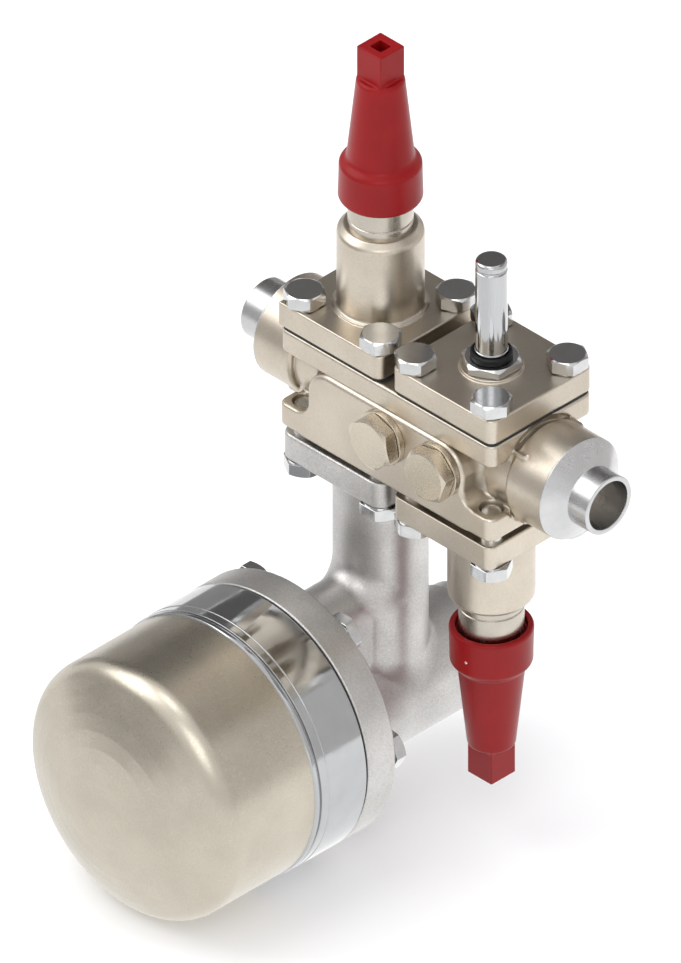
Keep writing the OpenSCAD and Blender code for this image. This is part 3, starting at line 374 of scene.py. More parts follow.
def turned_mesh(name, profile, place, steps=96, smooth_deg=32):
    """A piece turned round its own z from a profile of (radius, height) points. Each long straight
    run gets a point near both its ends, so that its shading stays straight."""
    dense = []
    for a, b in zip(profile, profile[1:]):
        shares = [0.3 / math.dist(a, b), 1 - 0.3 / math.dist(a, b)] if math.dist(a, b) > 1.2 else []
        dense += [a] + [(a[0] + (b[0] - a[0]) * t, a[1] + (b[1] - a[1]) * t) for t in shares]
    profile = dense + [profile[-1]]
    points, faces, rows = [], [], []
    for r, z in profile:
        if r < 1e-6:
            rows.append([len(points)] * steps)
            points.append((0, 0, z))
        else:
            rows.append(list(range(len(points), len(points) + steps)))
            points += [(r * math.cos(2 * math.pi * i / steps), r * math.sin(2 * math.pi * i / steps), z)
                       for i in range(steps)]
    closed = profile[0][0] > 1e-6 and profile[-1][0] > 1e-6
    for low, high in zip(rows, rows[1:] + (rows[:1] if closed else [])):
        for i in range(steps):
            j = (i + 1) % steps
            face = [low[i], low[j], high[j], high[i]]
            faces.append(list(dict.fromkeys(face)))
    return placed_mesh(name, points, faces, place, smooth_deg)


def moved(mesh, place):
    """Moves a mesh that is already in metres by a place in millimetres."""
    mesh.transform(Matrix.Translation(place.translation * MM) @ place.to_3x3().to_4x4())


def placed_mesh(name, points, faces, place, smooth_deg):
    """A mesh from points in millimetres, moved to its place, shaded smooth up to an angle."""
    mesh = bpy.data.meshes.new(name)
    mesh.from_pydata([place @ Vector(p) * MM for p in points], [], faces)
    mesh.validate()
    if place.determinant() < 0:
        mesh.flip_normals()
    mesh.shade_smooth()
    mesh.set_sharp_from_angle(angle=math.radians(smooth_deg))
    piece = bpy.data.objects.new(name, mesh)
    bpy.context.scene.collection.objects.link(piece)
    return piece


def turned_steel(name, colour, ring_mm, ring_depth_mm, roughness, axis, centre):
    """Steel cut on a lathe: bright, with fine rings that follow the tool round the axis.
    The real rings are 0.1 mm apart; they are drawn at ring_mm, so that they show."""
    material, tree = empty_material(name)
    place = add(tree, "ShaderNodeTexCoord").outputs["Object"]
    from_centre = add(tree, "ShaderNodeVectorMath", {0: place, 1: [c * MM for c in centre]},
                      operation="SUBTRACT")
    parts = add(tree, "ShaderNodeSeparateXYZ", {0: from_centre.outputs[0]})
    along = parts.outputs["XYZ".index(axis)]
    across = [parts.outputs[k] for k in range(3) if "XYZ"[k] != axis]
    flat = add(tree, "ShaderNodeCombineXYZ", {0: across[0], 1: across[1]})
    radius = add(tree, "ShaderNodeVectorMath", {0: flat.outputs[0]}, operation="LENGTH")
    rings = add(tree, "ShaderNodeCombineXYZ", {0: along, 1: radius.outputs["Value"]})
    lines = add(tree, "ShaderNodeTexNoise", {"Vector": rings.outputs[0], "Scale": 1 / (ring_mm * MM),
                                             "Detail": 2.0})
    smear = add(tree, "ShaderNodeTexNoise", {"Vector": place, "Scale": 1 / (9 * MM), "Detail": 3.0})
    rough = add(tree, "ShaderNodeMapRange", {0: smear.outputs[0], 1: 0.3, 2: 0.7, 3: roughness - 0.04,
                                             4: roughness + 0.06})
    bump = add(tree, "ShaderNodeBump", {"Height": lines.outputs[0], "Strength": 1.0,
                                        "Distance": ring_depth_mm * MM})
    tint = add(tree, "ShaderNodeMix", {0: smear.outputs[0], 6: linear(colour), 7: linear("#8d8f92")},
               data_type="RGBA")
    dim = add(tree, "ShaderNodeMix", {0: 0.65, 6: tint.outputs[2], 7: linear(colour)}, data_type="RGBA")
    shader = add(tree, "ShaderNodeBsdfPrincipled", {"Base Color": dim.outputs[2], "Metallic": 1.0,
                                                    "Roughness": rough.outputs[0], "Normal": bump.outputs[0]})
    add(tree, "ShaderNodeOutputMaterial", {"Surface": shader.outputs[0]})
    return material


weld_steel = turned_steel("turned bare steel of the weld ends", "#c8c8c8", 0.35, 0.006, 0.26, "X", (0, 0, 0))
weld_profile = rounded_profile([
    (WELD_BORE_R, 22), (WELD_BORE_R, 0), (WELD_TUBE_R, 0), (WELD_TUBE_R, WELD_TUBE_L),
    (NECK_R, WELD_TUBE_L + WELD_CONE_L), (NECK_R, NECK_START + 0.5), (NECK_R - 1.5, NECK_START + 0.5),
    (NECK_R - 4, 22), (WELD_BORE_R, 22)], 0.35)
for name, place in (("inlet_weld_end", Matrix.Rotation(math.radians(90), 4, "Y")),
                    ("outlet_weld_end", Matrix.Translation((2 * MIDDLE_X, 0, 0))
                     @ Matrix.Rotation(math.radians(-90), 4, "Y"))):
    end = turned_mesh(name, weld_profile[::-1], place)
    finished(end, weld_steel, "station", "plated_casting", "valve_housing")

# The stop valve bonnets: cast like the housing and plated with it, a square flange with a thick
# tube on it. Each is drawn from its joint face outwards, standing up, and the outlet's hangs down.
UPPER_FACE_Z, LOWER_FACE_Z = 25.3, -27.9
PLATE_T, PLATE_CORNER, PLATE_EDGE = 11.5, 4.0, 0.7
UPPER_PLATE_W, LOWER_PLATE_W, PLATE_SHIFT = 59.2, 57.5, 0.4
BONNET_R, BONNET_H, BONNET_SHOULDER = 18.4, 52.0, 3.0
THREAD_R, THREAD_TOP = 13.8, 79.0


def crossed(a, b, r):
    """What two shapes have in common, with the outer edge between them rounded."""
    return -joined(-a, -b, r)


def bonnet_field(x, y, z, width, shift, sharp_corner, land):
    """The bonnet with the room for the valve cone below and the way of the spindle above it."""
    corner = np.where((x < 0) & (y < 0), PLATE_EDGE, PLATE_CORNER) if sharp_corner else PLATE_CORNER
    plate = slab(rounded_rectangle(x - shift, y, width / 2, FLANGE_HALF_Y, corner),
                 z - PLATE_T / 2, PLATE_T / 2, PLATE_EDGE)
    r = np.hypot(x, y)
    slope = (r + z - BONNET_R - BONNET_H + BONNET_SHOULDER) / math.sqrt(2)
    tube = np.maximum(crossed(crossed(r - BONNET_R, slope, 0.8), z - BONNET_H, 0.5), -z)
    foot = np.maximum(crossed(r - BONNET_R - 1.6, z - PLATE_T - 0.9, 0.5), -z)
    body = joined(plate, joined(tube, foot, 1.2), 0.5)
    if land:
        body = np.minimum(body, slab(r - PORT_R - 4, z + land / 2 - 0.5, land / 2 + 0.5, 0.3))
    body = np.maximum(body, -np.maximum(r - 13.5, z - 25.5))
    return np.maximum(body, 6.2 - r)


def inlet_bonnet_field(x, y, z):
    return bonnet_field(x - INLET_X, y, z - UPPER_FACE_Z, UPPER_PLATE_W, -PLATE_SHIFT, True, 0)


def outlet_bonnet_field(x, y, z):
    return bonnet_field(x - OUTLET_X, y, LOWER_FACE_Z - z, LOWER_PLATE_W, 0, False, 2.6)


thread_steel = turned_steel("turned plated steel of the bonnet necks", "#c0b8ab", 0.5, 0.005, 0.24, "Z",
                            (INLET_X, 0, 0))
thread_steel_below = turned_steel("turned plated steel of the lower bonnet neck", "#c0b8ab", 0.5, 0.005, 0.24,
                                  "Z", (OUTLET_X, 0, 0))
neck_profile = rounded_profile([
    (6.2, BONNET_H - 6), (THREAD_R, BONNET_H - 6), (THREAD_R, BONNET_H + 3.2), (THREAD_R - 0.5, BONNET_H + 3.5),
    (THREAD_R - 0.5, BONNET_H + 3.8), (THREAD_R, BONNET_H + 4.1), (THREAD_R, THREAD_TOP - 1),
    (THREAD_R - 1, THREAD_TOP), (9.1, THREAD_TOP), (9.1, THREAD_TOP - 19), (6.2, THREAD_TOP - 19),
    (6.2, BONNET_H - 6)], 0.2, 2)
upright_inlet = Matrix.Translation((INLET_X, 0, UPPER_FACE_Z))
upright_outlet = Matrix.Translation((OUTLET_X, 0, UPPER_FACE_Z))
hanging_outlet = Matrix.Translation((OUTLET_X, 0, LOWER_FACE_Z)) @ Matrix.Rotation(math.pi, 4, "X")
hanging_inlet = Matrix.Translation((INLET_X, 0, LOWER_FACE_Z)) @ Matrix.Rotation(math.pi, 4, "X")
for name, field, low, high, place, steel in (
        ("inlet_bonnet", inlet_bonnet_field, (37, -32, 23.5), (100, 32, 79.5), upright_inlet, thread_steel),
        ("outlet_bonnet", outlet_bonnet_field, (103, -32, -82), (165, 32, -23), hanging_outlet,
         thread_steel_below)):
    bonnet = cast_mesh(name + "_casting", field, low, high, 0.7, 0.7)
    finished(bonnet, nickel_casting, "station", "plated_casting", name)
    neck = turned_mesh(name + "_neck", neck_profile, place)
    finished(neck, steel, "station", "plated_casting", name)

# The hexagon bolts: M10, cold headed from steel wire, thread rolled, then bright zinc plated. The
# top corners of each head are turned down to the flats, and a thin washer face sits under it.
BOLT_AF, BOLT_HEAD_H, BOLT_R = 16.0, 6.4, 5.0
WASHER_FACE = 0.5


def hex_bolt_mesh(af, head_h, shank_r, length, turn_deg, washer=WASHER_FACE, top=0.95, per_flat=6):
    """Points and faces of one hexagon bolt, its head from z = 0 upwards and its shank below."""
    corner_r = af / 2 / math.cos(math.radians(30))
    steps = 6 * per_flat
    outline = []
    for i in range(steps):
        off = math.radians((i % per_flat) * 60 / per_flat - 30)
        outline.append(min(af / 2 / math.cos(off), corner_r * 0.985))
    top_r = af / 2 * top
    washer_r = af / 2 * 0.94
    rings = [[(0.01, -length)] * steps, [(shank_r - 0.9, -length)] * steps, [(shank_r, -length + 0.9)] * steps,
             [(shank_r, -0.01)] * steps, [(washer_r, -0.01)] * steps, [(washer_r, washer)] * steps,
             [(r - 0.15, washer) for r in outline], [(r, washer + 0.15) for r in outline],
             [(r, head_h - (r - top_r) * math.tan(math.radians(30)) * 0.95) for r in outline],
             [(top_r, head_h)] * steps, [(top_r - 0.5, head_h)] * steps, [(top_r * 0.6, head_h)] * steps,
             [(0.01, head_h)] * steps]
    points, faces = [], []
    for k, ring in enumerate(rings):
        for i, (r, z) in enumerate(ring):
            a = 2 * math.pi * i / steps + math.radians(turn_deg)
            points.append((r * math.cos(a), r * math.sin(a), z))
            if k:
                j = (i + 1) % steps
                faces.append(((k - 1) * steps + i, (k - 1) * steps + j, k * steps + j, k * steps + i))
    faces.append(tuple(range(steps))[::-1])
    last = (len(rings) - 1) * steps
    faces.append(tuple(last + i for i in range(steps)))
    return points, faces


def bolt_set(name, places, af, head_h, shank_r, length, **shape):
    """Several like bolts as one piece. Each place is a matrix and the turn of the head."""
    all_points, all_faces = [], []
    for place, turn_deg in places:
        points, faces = hex_bolt_mesh(af, head_h, shank_r, length, turn_deg, **shape)
        all_faces += [tuple(len(all_points) + i for i in face) for face in faces]
        all_points += [tuple(place @ Vector(p)) for p in points]
    return placed_mesh(name, all_points, all_faces, Matrix.Identity(4), 25)


def bright_zinc(name, colour, roughness):
    """Bright zinc on cold headed steel: bluish white, nearly a mirror, with faint cloudy patches
    from the plating bath and the fine grain of the steel under it."""
    material, tree = empty_material(name)
    place = add(tree, "ShaderNodeTexCoord").outputs["Object"]
    cloud = add(tree, "ShaderNodeTexNoise", {"Vector": place, "Scale": 1 / (5 * MM), "Detail": 3.0})
    grain = add(tree, "ShaderNodeTexNoise", {"Vector": place, "Scale": 1 / (0.5 * MM), "Detail": 2.0})
    tint = add(tree, "ShaderNodeMix", {0: cloud.outputs[0], 6: linear(colour), 7: linear("#b8b9ba")},
               data_type="RGBA")
    rough = add(tree, "ShaderNodeMapRange", {0: cloud.outputs[0], 1: 0.3, 2: 0.7, 3: roughness - 0.04,
                                             4: roughness + 0.06})
    bump = add(tree, "ShaderNodeBump", {"Height": grain.outputs[0], "Strength": 1.0, "Distance": 0.003 * MM})
    shader = add(tree, "ShaderNodeBsdfPrincipled", {"Base Color": tint.outputs[2], "Metallic": 1.0,
                                                    "Roughness": rough.outputs[0], "Normal": bump.outputs[0]})
    add(tree, "ShaderNodeOutputMaterial", {"Surface": shader.outputs[0]})
    return material


def square_of_bolts(place, height, lone):
    """The places of a module's four bolts; the one on the side of lone stands turned."""
    return [(place @ Matrix.Translation((sx * BOLT_SPACING / 2, sy * BOLT_SPACING / 2, height)),
             0 if (sx, sy) == lone else 30) for sx in (-1, 1) for sy in (-1, 1)]


zinc_plate = bright_zinc("bright zinc plate of the bolts", "#cfcfcf", 0.15)
FLOAT_FLANGE_T = 13.0
for node, place, plate, length, lone in (
        ("inlet_bonnet_bolts", upright_inlet, PLATE_T, 20.8, (1, -1)),
        ("solenoid_cover_bolts", upright_outlet, PLATE_T, 20.8, (1, -1)),
        ("outlet_bonnet_bolts", hanging_outlet, PLATE_T, 24.9, (1, 1)),
        ("float_body_bolts", hanging_inlet, FLOAT_FLANGE_T, 26.4, (1, 1))):
    bolts = bolt_set(node[:-1] + "_heads", square_of_bolts(place, plate, lone), BOLT_AF, BOLT_HEAD_H, BOLT_R,
                     length)
    finished(bolts, zinc_plate, "station", "zinc_steel", node)

# The spindle caps: cast, threaded inside, and painted red. A square with a square key hole for
# the tool stands on the cone, and one white dot marks the collar.
CAP_BASE, CAP_COLLAR_H, CAP_COLLAR_R, CAP_SHOULDER = 66.8, 17.5, 17.45, 2.2
CAP_CONE_R, CAP_TIP_R, CAP_CONE_H = 14.5, 10.2, 41.1
CAP_SQUARE, CAP_SQUARE_H, CAP_KEY = 14.0, 16.0, 6.4
CAP_TOP = CAP_BASE + CAP_COLLAR_H + CAP_CONE_H + CAP_SQUARE_H
DOT_R = 0.75


def cap_field(x, y, z):
    r = np.hypot(x, y)
    cone_z = CAP_BASE + CAP_COLLAR_H
    tip_z = cone_z + CAP_CONE_H
    lean = math.atan2(CAP_CONE_R - CAP_TIP_R, CAP_CONE_H)
    side = (r - CAP_CONE_R) * math.cos(lean) + (z - cone_z) * math.sin(lean)
    cone = np.maximum(crossed(side, z - tip_z - 0.6, 1.6), CAP_BASE - z)
    collar = crossed(crossed(r - CAP_COLLAR_R, z - cone_z, CAP_SHOULDER), CAP_BASE - z, 0.5)
    body = joined(cone, collar, 3.0)
    square = rounded_rectangle(x, y, CAP_SQUARE / 2, CAP_SQUARE / 2, 0.3)
    square = np.maximum(crossed(square, z - CAP_TOP, 0.3), CAP_TOP - CAP_SQUARE_H - 6 - z)
    body = joined(body, square, 0.8)
    key = np.maximum(rounded_rectangle(x, y, CAP_KEY / 2, CAP_KEY / 2, 0.3), CAP_TOP - 6 - z)
    body = cut(body, key, 0.3)
    mouth = np.maximum(r - THREAD_R - 1.3, z - CAP_BASE - 2)
    bore = np.maximum(r - THREAD_R - 0.15, z - THREAD_TOP - 1.2)
    room = np.minimum(np.maximum(r - 11.5, z - 86), np.maximum(r - 7.5, z - 115))
    return cut(np.maximum(body, -np.minimum(bore, room)), mouth, 0.4)


def cap_paint(name):
    """Stoved red paint on a casting: a saturated red with a soft gloss, a slight orange peel
    about 2 mm wide, and a little darker where it has run thin."""
    material, tree = empty_material(name)
    place = add(tree, "ShaderNodeTexCoord").outputs["Object"]
    cloud = add(tree, "ShaderNodeTexNoise", {"Vector": place, "Scale": 1 / (14 * MM), "Detail": 3.0})
    peel = add(tree, "ShaderNodeTexNoise", {"Vector": place, "Scale": 1 / (2 * MM), "Detail": 2.0})
    tint = add(tree, "ShaderNodeMix", {0: cloud.outputs[0], 6: linear("#8b0a0e"), 7: linear("#79080c")},
               data_type="RGBA")
    bump = add(tree, "ShaderNodeBump", {"Height": peel.outputs[0], "Strength": 1.0, "Distance": 0.02 * MM})
    shader = add(tree, "ShaderNodeBsdfPrincipled", {"Base Color": tint.outputs[2], "Roughness": 0.34,
                                                    "Specular IOR Level": 0.2, "Normal": bump.outputs[0]})
    add(tree, "ShaderNodeOutputMaterial", {"Surface": shader.outputs[0]})
    return material


def dot_paint(name):
    """A dab of white marking paint, slightly uneven."""
    material, tree = empty_material(name)
    place = add(tree, "ShaderNodeTexCoord").outputs["Object"]
    cloud = add(tree, "ShaderNodeTexNoise", {"Vector": place, "Scale": 1 / (1 * MM)})
    tint = add(tree, "ShaderNodeMix", {0: cloud.outputs[0], 6: linear("#f6eeee"), 7: linear("#e9dede")},
               data_type="RGBA")
    shader = add(tree, "ShaderNodeBsdfPrincipled", {"Base Color": tint.outputs[2], "Roughness": 0.5})
    add(tree, "ShaderNodeOutputMaterial", {"Surface": shader.outputs[0]})
    return material


red_paint, white_dab = cap_paint("stoved red cap paint"), dot_paint("white marking paint")
cap = cast_mesh("inlet_cap_casting", cap_field, (-18.5, -18.5, 65.5), (18.5, 18.5, 142.5), 0.62, 0.7)
second_shape = cap.data.copy()
dot_profile = [(0, 0), (DOT_R * 0.7, 0.12), (DOT_R, 0), (DOT_R * 0.7, -0.3), (0, -0.3)]
for name, place, dot_turn_deg, dot_height in (("inlet_cap", upright_inlet, -82, 6.2),
                                              ("outlet_cap", hanging_outlet, 82, 9.5)):
    if name == "outlet_cap":
        cap = cap.copy()
        cap.data = second_shape
        cap.name = cap.data.name = name + "_casting"
        cap.parent = None
        bpy.context.scene.collection.objects.link(cap)
    moved(cap.data, place)
    finished(cap, red_paint, name, "red_paint", name)
    dot = turned_mesh(name + "_dot", dot_profile,
                      place @ Matrix.Rotation(math.radians(dot_turn_deg), 4, "Z")
                      @ Matrix.Translation((CAP_COLLAR_R + 0.02, 0, CAP_BASE + dot_height))
                      @ Matrix.Rotation(math.radians(90), 4, "Y"), 24)
    finished(dot, white_dab, name, "red_paint")

# The solenoid module: a cast cover plate like the others, and in it a screwed-in armature tube of
# polished stainless steel on a hexagon, with a groove for the coil's clip and a rubber ring.
BOSS_D, BOSS_TOP = 26.56, 12.7
TUBE_HEX_AF, TUBE_HEX_TOP, TUBE_HEX_TURN_DEG = 23.0, 16.7, 29
TUBE_R, TUBE_FOOT_R, TUBE_FOOT_TOP, TUBE_TOP = 6.75, 7.1, 20.7, 65.7
CLIP_GROOVE_Z, CLIP_GROOVE_R = 61.5, 0.9
RING_IN_R, RING_OUT_R, RING_H = 7.15, 8.95, 3.2


def cover_field(x, y, z):
    u, v = x - OUTLET_X, z - UPPER_FACE_Z
    plate = slab(rounded_rectangle(u - PLATE_SHIFT, y, UPPER_PLATE_W / 2, FLANGE_HALF_Y, PLATE_CORNER),
                 v - PLATE_T / 2, PLATE_T / 2, PLATE_EDGE)
    r = np.hypot(u, y)
    body = joined(plate, slab(r - BOSS_D / 2, v - BOSS_TOP / 2 - 2, BOSS_TOP / 2 - 2, 0.4), 0.6)
    room = np.minimum(np.maximum(r - 16, v - 5), np.maximum(r - 8.2, v - BOSS_TOP - 1))
    return np.maximum(body, -room)


def polished_tube(name):
    """Drawn stainless tube, polished lengthwise: nearly a mirror, with very faint long scratches.
    The real scratches are 0.02 mm wide; they are drawn at 0.3 mm."""
    material, tree = empty_material(name)
    place = add(tree, "ShaderNodeTexCoord").outputs["Object"]
    long = add(tree, "ShaderNodeVectorMath", {0: place, 1: (1, 1, 0.03)}, operation="MULTIPLY")
    scratch = add(tree, "ShaderNodeTexNoise", {"Vector": long.outputs[0], "Scale": 1 / (0.3 * MM), "Detail": 2.0})
    rough = add(tree, "ShaderNodeMapRange", {0: scratch.outputs[0], 1: 0.3, 2: 0.7, 3: 0.07, 4: 0.14})
    tint = add(tree, "ShaderNodeMix", {0: scratch.outputs[0], 6: linear("#b9babb"), 7: linear("#adaeb0")},
               data_type="RGBA")
    shader = add(tree, "ShaderNodeBsdfPrincipled", {"Base Color": tint.outputs[2], "Metallic": 1.0,
                                                    "Roughness": rough.outputs[0]})
    add(tree, "ShaderNodeOutputMaterial", {"Surface": shader.outputs[0]})
    return material


def black_rubber(name):
    """Moulded nitrile rubber: black, with a dull sheen and a fine skin drawn at 0.4 mm."""
    material, tree = empty_material(name)
    place = add(tree, "ShaderNodeTexCoord").outputs["Object"]
    skin = add(tree, "ShaderNodeTexNoise", {"Vector": place, "Scale": 1 / (0.4 * MM), "Detail": 3.0})
    tint = add(tree, "ShaderNodeMix", {0: skin.outputs[0], 6: linear("#060606"), 7: linear("#101011")},
               data_type="RGBA")
    bump = add(tree, "ShaderNodeBump", {"Height": skin.outputs[0], "Strength": 1.0, "Distance": 0.01 * MM})
    shader = add(tree, "ShaderNodeBsdfPrincipled", {"Base Color": tint.outputs[2], "Roughness": 0.42,
                                                    "Specular IOR Level": 0.3, "Normal": bump.outputs[0]})
    add(tree, "ShaderNodeOutputMaterial", {"Surface": shader.outputs[0]})
    return material


cover = cast_mesh("solenoid_cover_casting", cover_field, (103, -31, 24.5), (165, 31, 39), 0.7, 0.7)
finished(cover, nickel_casting, "station", "plated_casting", "solenoid_cover")
tube_steel, rubber = polished_tube("polished stainless armature tube"), black_rubber("moulded nitrile rubber")
tube_profile = rounded_profile(
    [(TUBE_R - 0.8, PLATE_T - 4), (TUBE_FOOT_R, PLATE_T - 4), (TUBE_FOOT_R, TUBE_FOOT_TOP),
     (TUBE_R, TUBE_FOOT_TOP + 0.2), (TUBE_R, CLIP_GROOVE_Z - 0.85)]
    + [(TUBE_R + 0.35 - CLIP_GROOVE_R * math.cos(math.radians(a)),
        CLIP_GROOVE_Z + CLIP_GROOVE_R * math.sin(math.radians(a))) for a in range(-60, 61, 12)]
    + [(TUBE_R, CLIP_GROOVE_Z + 0.85)]
    + [(TUBE_R - 1.5 + 1.5 * math.cos(math.radians(a)), TUBE_TOP - 1.5 + 1.5 * math.sin(math.radians(a)))
       for a in range(0, 91, 10)]
    + [(0, TUBE_TOP), (0, TUBE_TOP - 16), (TUBE_R - 0.8, TUBE_TOP - 16), (TUBE_R - 0.8, PLATE_T - 4)], 0.05, 1)
tube = turned_mesh("armature_tube_drawn", tube_profile, upright_outlet, 72)
finished(tube, tube_steel, "station", "polished_steel", "armature_tube")
points, faces = hex_bolt_mesh(TUBE_HEX_AF, TUBE_HEX_TOP - BOSS_TOP, 8.1, 5.2, TUBE_HEX_TURN_DEG, washer=0.15,
                              top=0.97)
tube_hex = placed_mesh("armature_tube_hexagon", points, faces,
                       upright_outlet @ Matrix.Translation((0, 0, BOSS_TOP)), 25)
finished(tube_hex, zinc_plate, "station", "polished_steel", "armature_tube")
ring_profile = rounded_profile([(RING_IN_R, 0), (RING_OUT_R, 0), (RING_OUT_R, RING_H), (RING_IN_R, RING_H),
                                (RING_IN_R, 0.01)], 0.95, 6)
seal_ring = turned_mesh("tube_rubber_ring", ring_profile, upright_outlet @ Matrix.Translation((0, 0, TUBE_HEX_TOP)),
                        64, 60)
finished(seal_ring, rubber, "station", "black_rubber", "tube_o_ring")

# The side plugs: two machined hexagon plugs in the front boss, plated with the housing, each on
# a flat washer.
PLUG_AF, PLUG_H, PLUG_R, PLUG_L = 22.0, 6.5, 8.5, 12.5
PLUG_TURNS_DEG = (42, 12)
WASHER_R, WASHER_BORE_R, WASHER_T = 12.4, 9, 2.8
BOSS_FRONT_Y = -FLANGE_HALF_Y - BOSS_PROUD
plug_nickel = satin_nickel("satin nickel-plated machined plug", "#ccc3b4", "#bcb3a4", 0.7, 0.006, 0.28)
plug_places = [Matrix.Translation((x, BOSS_FRONT_Y, 0)) @ Matrix.Rotation(math.radians(90), 4, "X")
               for x in (MIDDLE_X, OUTLET_X)]
plugs = bolt_set("side_plugs_turned", [(p @ Matrix.Translation((0, 0, WASHER_T)), turn)
                                       for p, turn in zip(plug_places, PLUG_TURNS_DEG)],
                 PLUG_AF, PLUG_H, PLUG_R, PLUG_L, washer=0.2, top=0.95)
finished(plugs, plug_nickel, "station", "plated_steel", "side_plugs")
for i, p in enumerate(plug_places):
    washer = turned_mesh(f"plug_washer_{i + 1}", rounded_profile(
        [(WASHER_BORE_R, 0), (WASHER_R, 0), (WASHER_R, WASHER_T), (WASHER_BORE_R, WASHER_T),
         (WASHER_BORE_R, 0.01)], 0.25, 3), p, 64)
    finished(washer, plug_nickel, "station", "zinc_steel", "plug_washers")

# The float body: one grey cast steel piece, blasted but not plated, so it looks bluish and grainy.
# A column, a crosswise barrel and a vent pipe join a square flange above to a round one in front.
FLOAT_FLANGE_CORNER = 6.5
COLUMN_R, COLUMN_BORE_R = 20.0, 14.0
BARREL_R, BARREL_Z, BARREL_BACK, BARREL_BORE_R = 26.0, -157.0, 50.0, 19.5
RIM_R, RIM_L = 24.5, 7.0
VENT_R, VENT_Z, VENT_BORE_R = 13.5, -106.3, 6.2
CHAMBER_R, CHAMBER_Z, CHAMBER_BACK_Y, CHAMBER_FACE_Y, MOUTH_R = 60.5, -140.0, -51.5, -67.5, 43.0


def float_body_field(x, y, z):
    u = x - INLET_X
    flange_z = LOWER_FACE_Z - FLOAT_FLANGE_T / 2
    flange = slab(rounded_rectangle(u, y, FLANGE_HALF_Y, FLANGE_HALF_Y, FLOAT_FLANGE_CORNER),
                  z - flange_z, FLOAT_FLANGE_T / 2, CAST_EDGE)
    from_column = np.hypot(u, y)
    land = slab(from_column - PORT_R - 4, z - LOWER_FACE_Z + 1, 3.6, 0.3)
    column = np.maximum(from_column - COLUMN_R, np.maximum(z - flange_z, BARREL_Z - z))
    from_barrel = np.hypot(u, z - BARREL_Z)
    barrel = slab(from_barrel - BARREL_R, y - (BARREL_BACK - RIM_L + CHAMBER_BACK_Y - 2) / 2,
                  (BARREL_BACK - RIM_L - CHAMBER_BACK_Y + 2) / 2, 1.0)
    rim = slab(from_barrel - RIM_R, y - BARREL_BACK + 10, 10, 0.8)
    barrel = joined(barrel, rim, 0.8)
    from_vent = np.hypot(u, z - VENT_Z)
    web = np.hypot(u, np.maximum(z - VENT_Z, 0)) - VENT_R
    web = np.maximum(np.maximum(web, BARREL_Z - z), np.maximum(y, CHAMBER_BACK_Y - 2 - y))
    body = joined(joined(column, barrel, 4), web, np.clip((z - VENT_Z + 8) / 1.6, 3, 8))
    from_chamber = np.hypot(u, z - CHAMBER_Z)
    disc = slab(from_chamber - CHAMBER_R, y - (CHAMBER_BACK_Y + CHAMBER_FACE_Y) / 2,
                (CHAMBER_BACK_Y - CHAMBER_FACE_Y) / 2, 0.9)
    body = joined(body, disc, 5)
    body = np.maximum(body, CHAMBER_FACE_Y - y)
    body = joined(joined(body, flange, 4), land, 0.2)
    hollow = np.maximum(from_column - COLUMN_BORE_R, BARREL_Z - z)
    hollow = np.minimum(hollow, from_barrel - BARREL_BORE_R)
    hollow = np.minimum(hollow, np.maximum(from_vent - VENT_BORE_R, y))
    hollow = np.minimum(hollow, np.maximum(from_chamber - MOUTH_R, y - CHAMBER_BACK_Y + 8))
    return cut(body, hollow, 0.5)


grey_casting = satin_nickel("blasted grey steel casting", "#cccac8", "#aeacaa", 0.8, 0.06, 0.42, 0.6)
float_casting = cast_mesh("float_body_casting", float_body_field, (7, -69, -202), (131, 52, -23), 1.0, 0.8)
finished(float_casting, grey_casting, "station", "grey_casting", "float_body")

# The rear plug: a turned steel plug with a hexagon socket, screwed into the back of the barrel
# on a flat seal.
PLUG_SEAL_T, REAR_FLANGE_R, REAR_FLANGE_T, SOCKET_AF, SOCKET_DEPTH = 1.5, 22.5, 4.0, 14.0, 11.0
REAR_PLUG_L = 16.0


def rear_plug_field(x, y, z):
    r = np.hypot(x, y)
    flange = slab(r - REAR_FLANGE_R, z - PLUG_SEAL_T - REAR_FLANGE_T / 2, REAR_FLANGE_T / 2, 0.6)
    shank = slab(r - BARREL_BORE_R + 0.05, z + (REAR_PLUG_L - 4) / 2, (REAR_PLUG_L + 4) / 2, 0.5)
    cos_60, sin_60 = math.cos(math.radians(60)), math.sin(math.radians(60))
    hexagon = np.maximum(np.abs(x), np.maximum(np.abs(x * cos_60 + y * sin_60), np.abs(x * cos_60 - y * sin_60)))
    top = PLUG_SEAL_T + REAR_FLANGE_T
    socket = np.maximum(hexagon - SOCKET_AF / 2, top - SOCKET_DEPTH - z)
    return cut(np.minimum(flange, shank), np.minimum(socket, np.maximum(r + z - top - 8.6, r - 8.6)), 0.2)


at_rear = Matrix.Translation((INLET_X, BARREL_BACK, BARREL_Z)) @ Matrix.Rotation(math.radians(-90), 4, "X")
plug = cast_mesh("rear_plug_turned", rear_plug_field, (-23.6, -23.6, -17.2), (23.6, 23.6, 6.6), 0.6, 0.7)
moved(plug.data, at_rear)
plug_steel = turned_steel("turned steel of the rear plug", "#babcbf", 0.5, 0.006, 0.28, "Y", (INLET_X, 0, BARREL_Z))
finished(plug, plug_steel, "station", "turned_steel", "rear_plug")

# The float chamber: a turned steel ring, ground bright, and a pressed steel dome welded to it and
# nickel plated. Hexagon bolts from behind the cast flange hold the ring against its gasket.
RING_BACK_Y, RING_L, RING_STEP, RING_GROOVE = -68.5, 29.5, 21.7, 25.9
DOME_R, DOME_L, DOME_CORNER, DOME_CROWN, DOME_WALL = 59.5, 67.5, 12.0, 100.0, 3.0
CHAMBER_BOLT_R, CHAMBER_BOLTS, CHAMBER_BOLT_L = 52.0, 6, 28.0


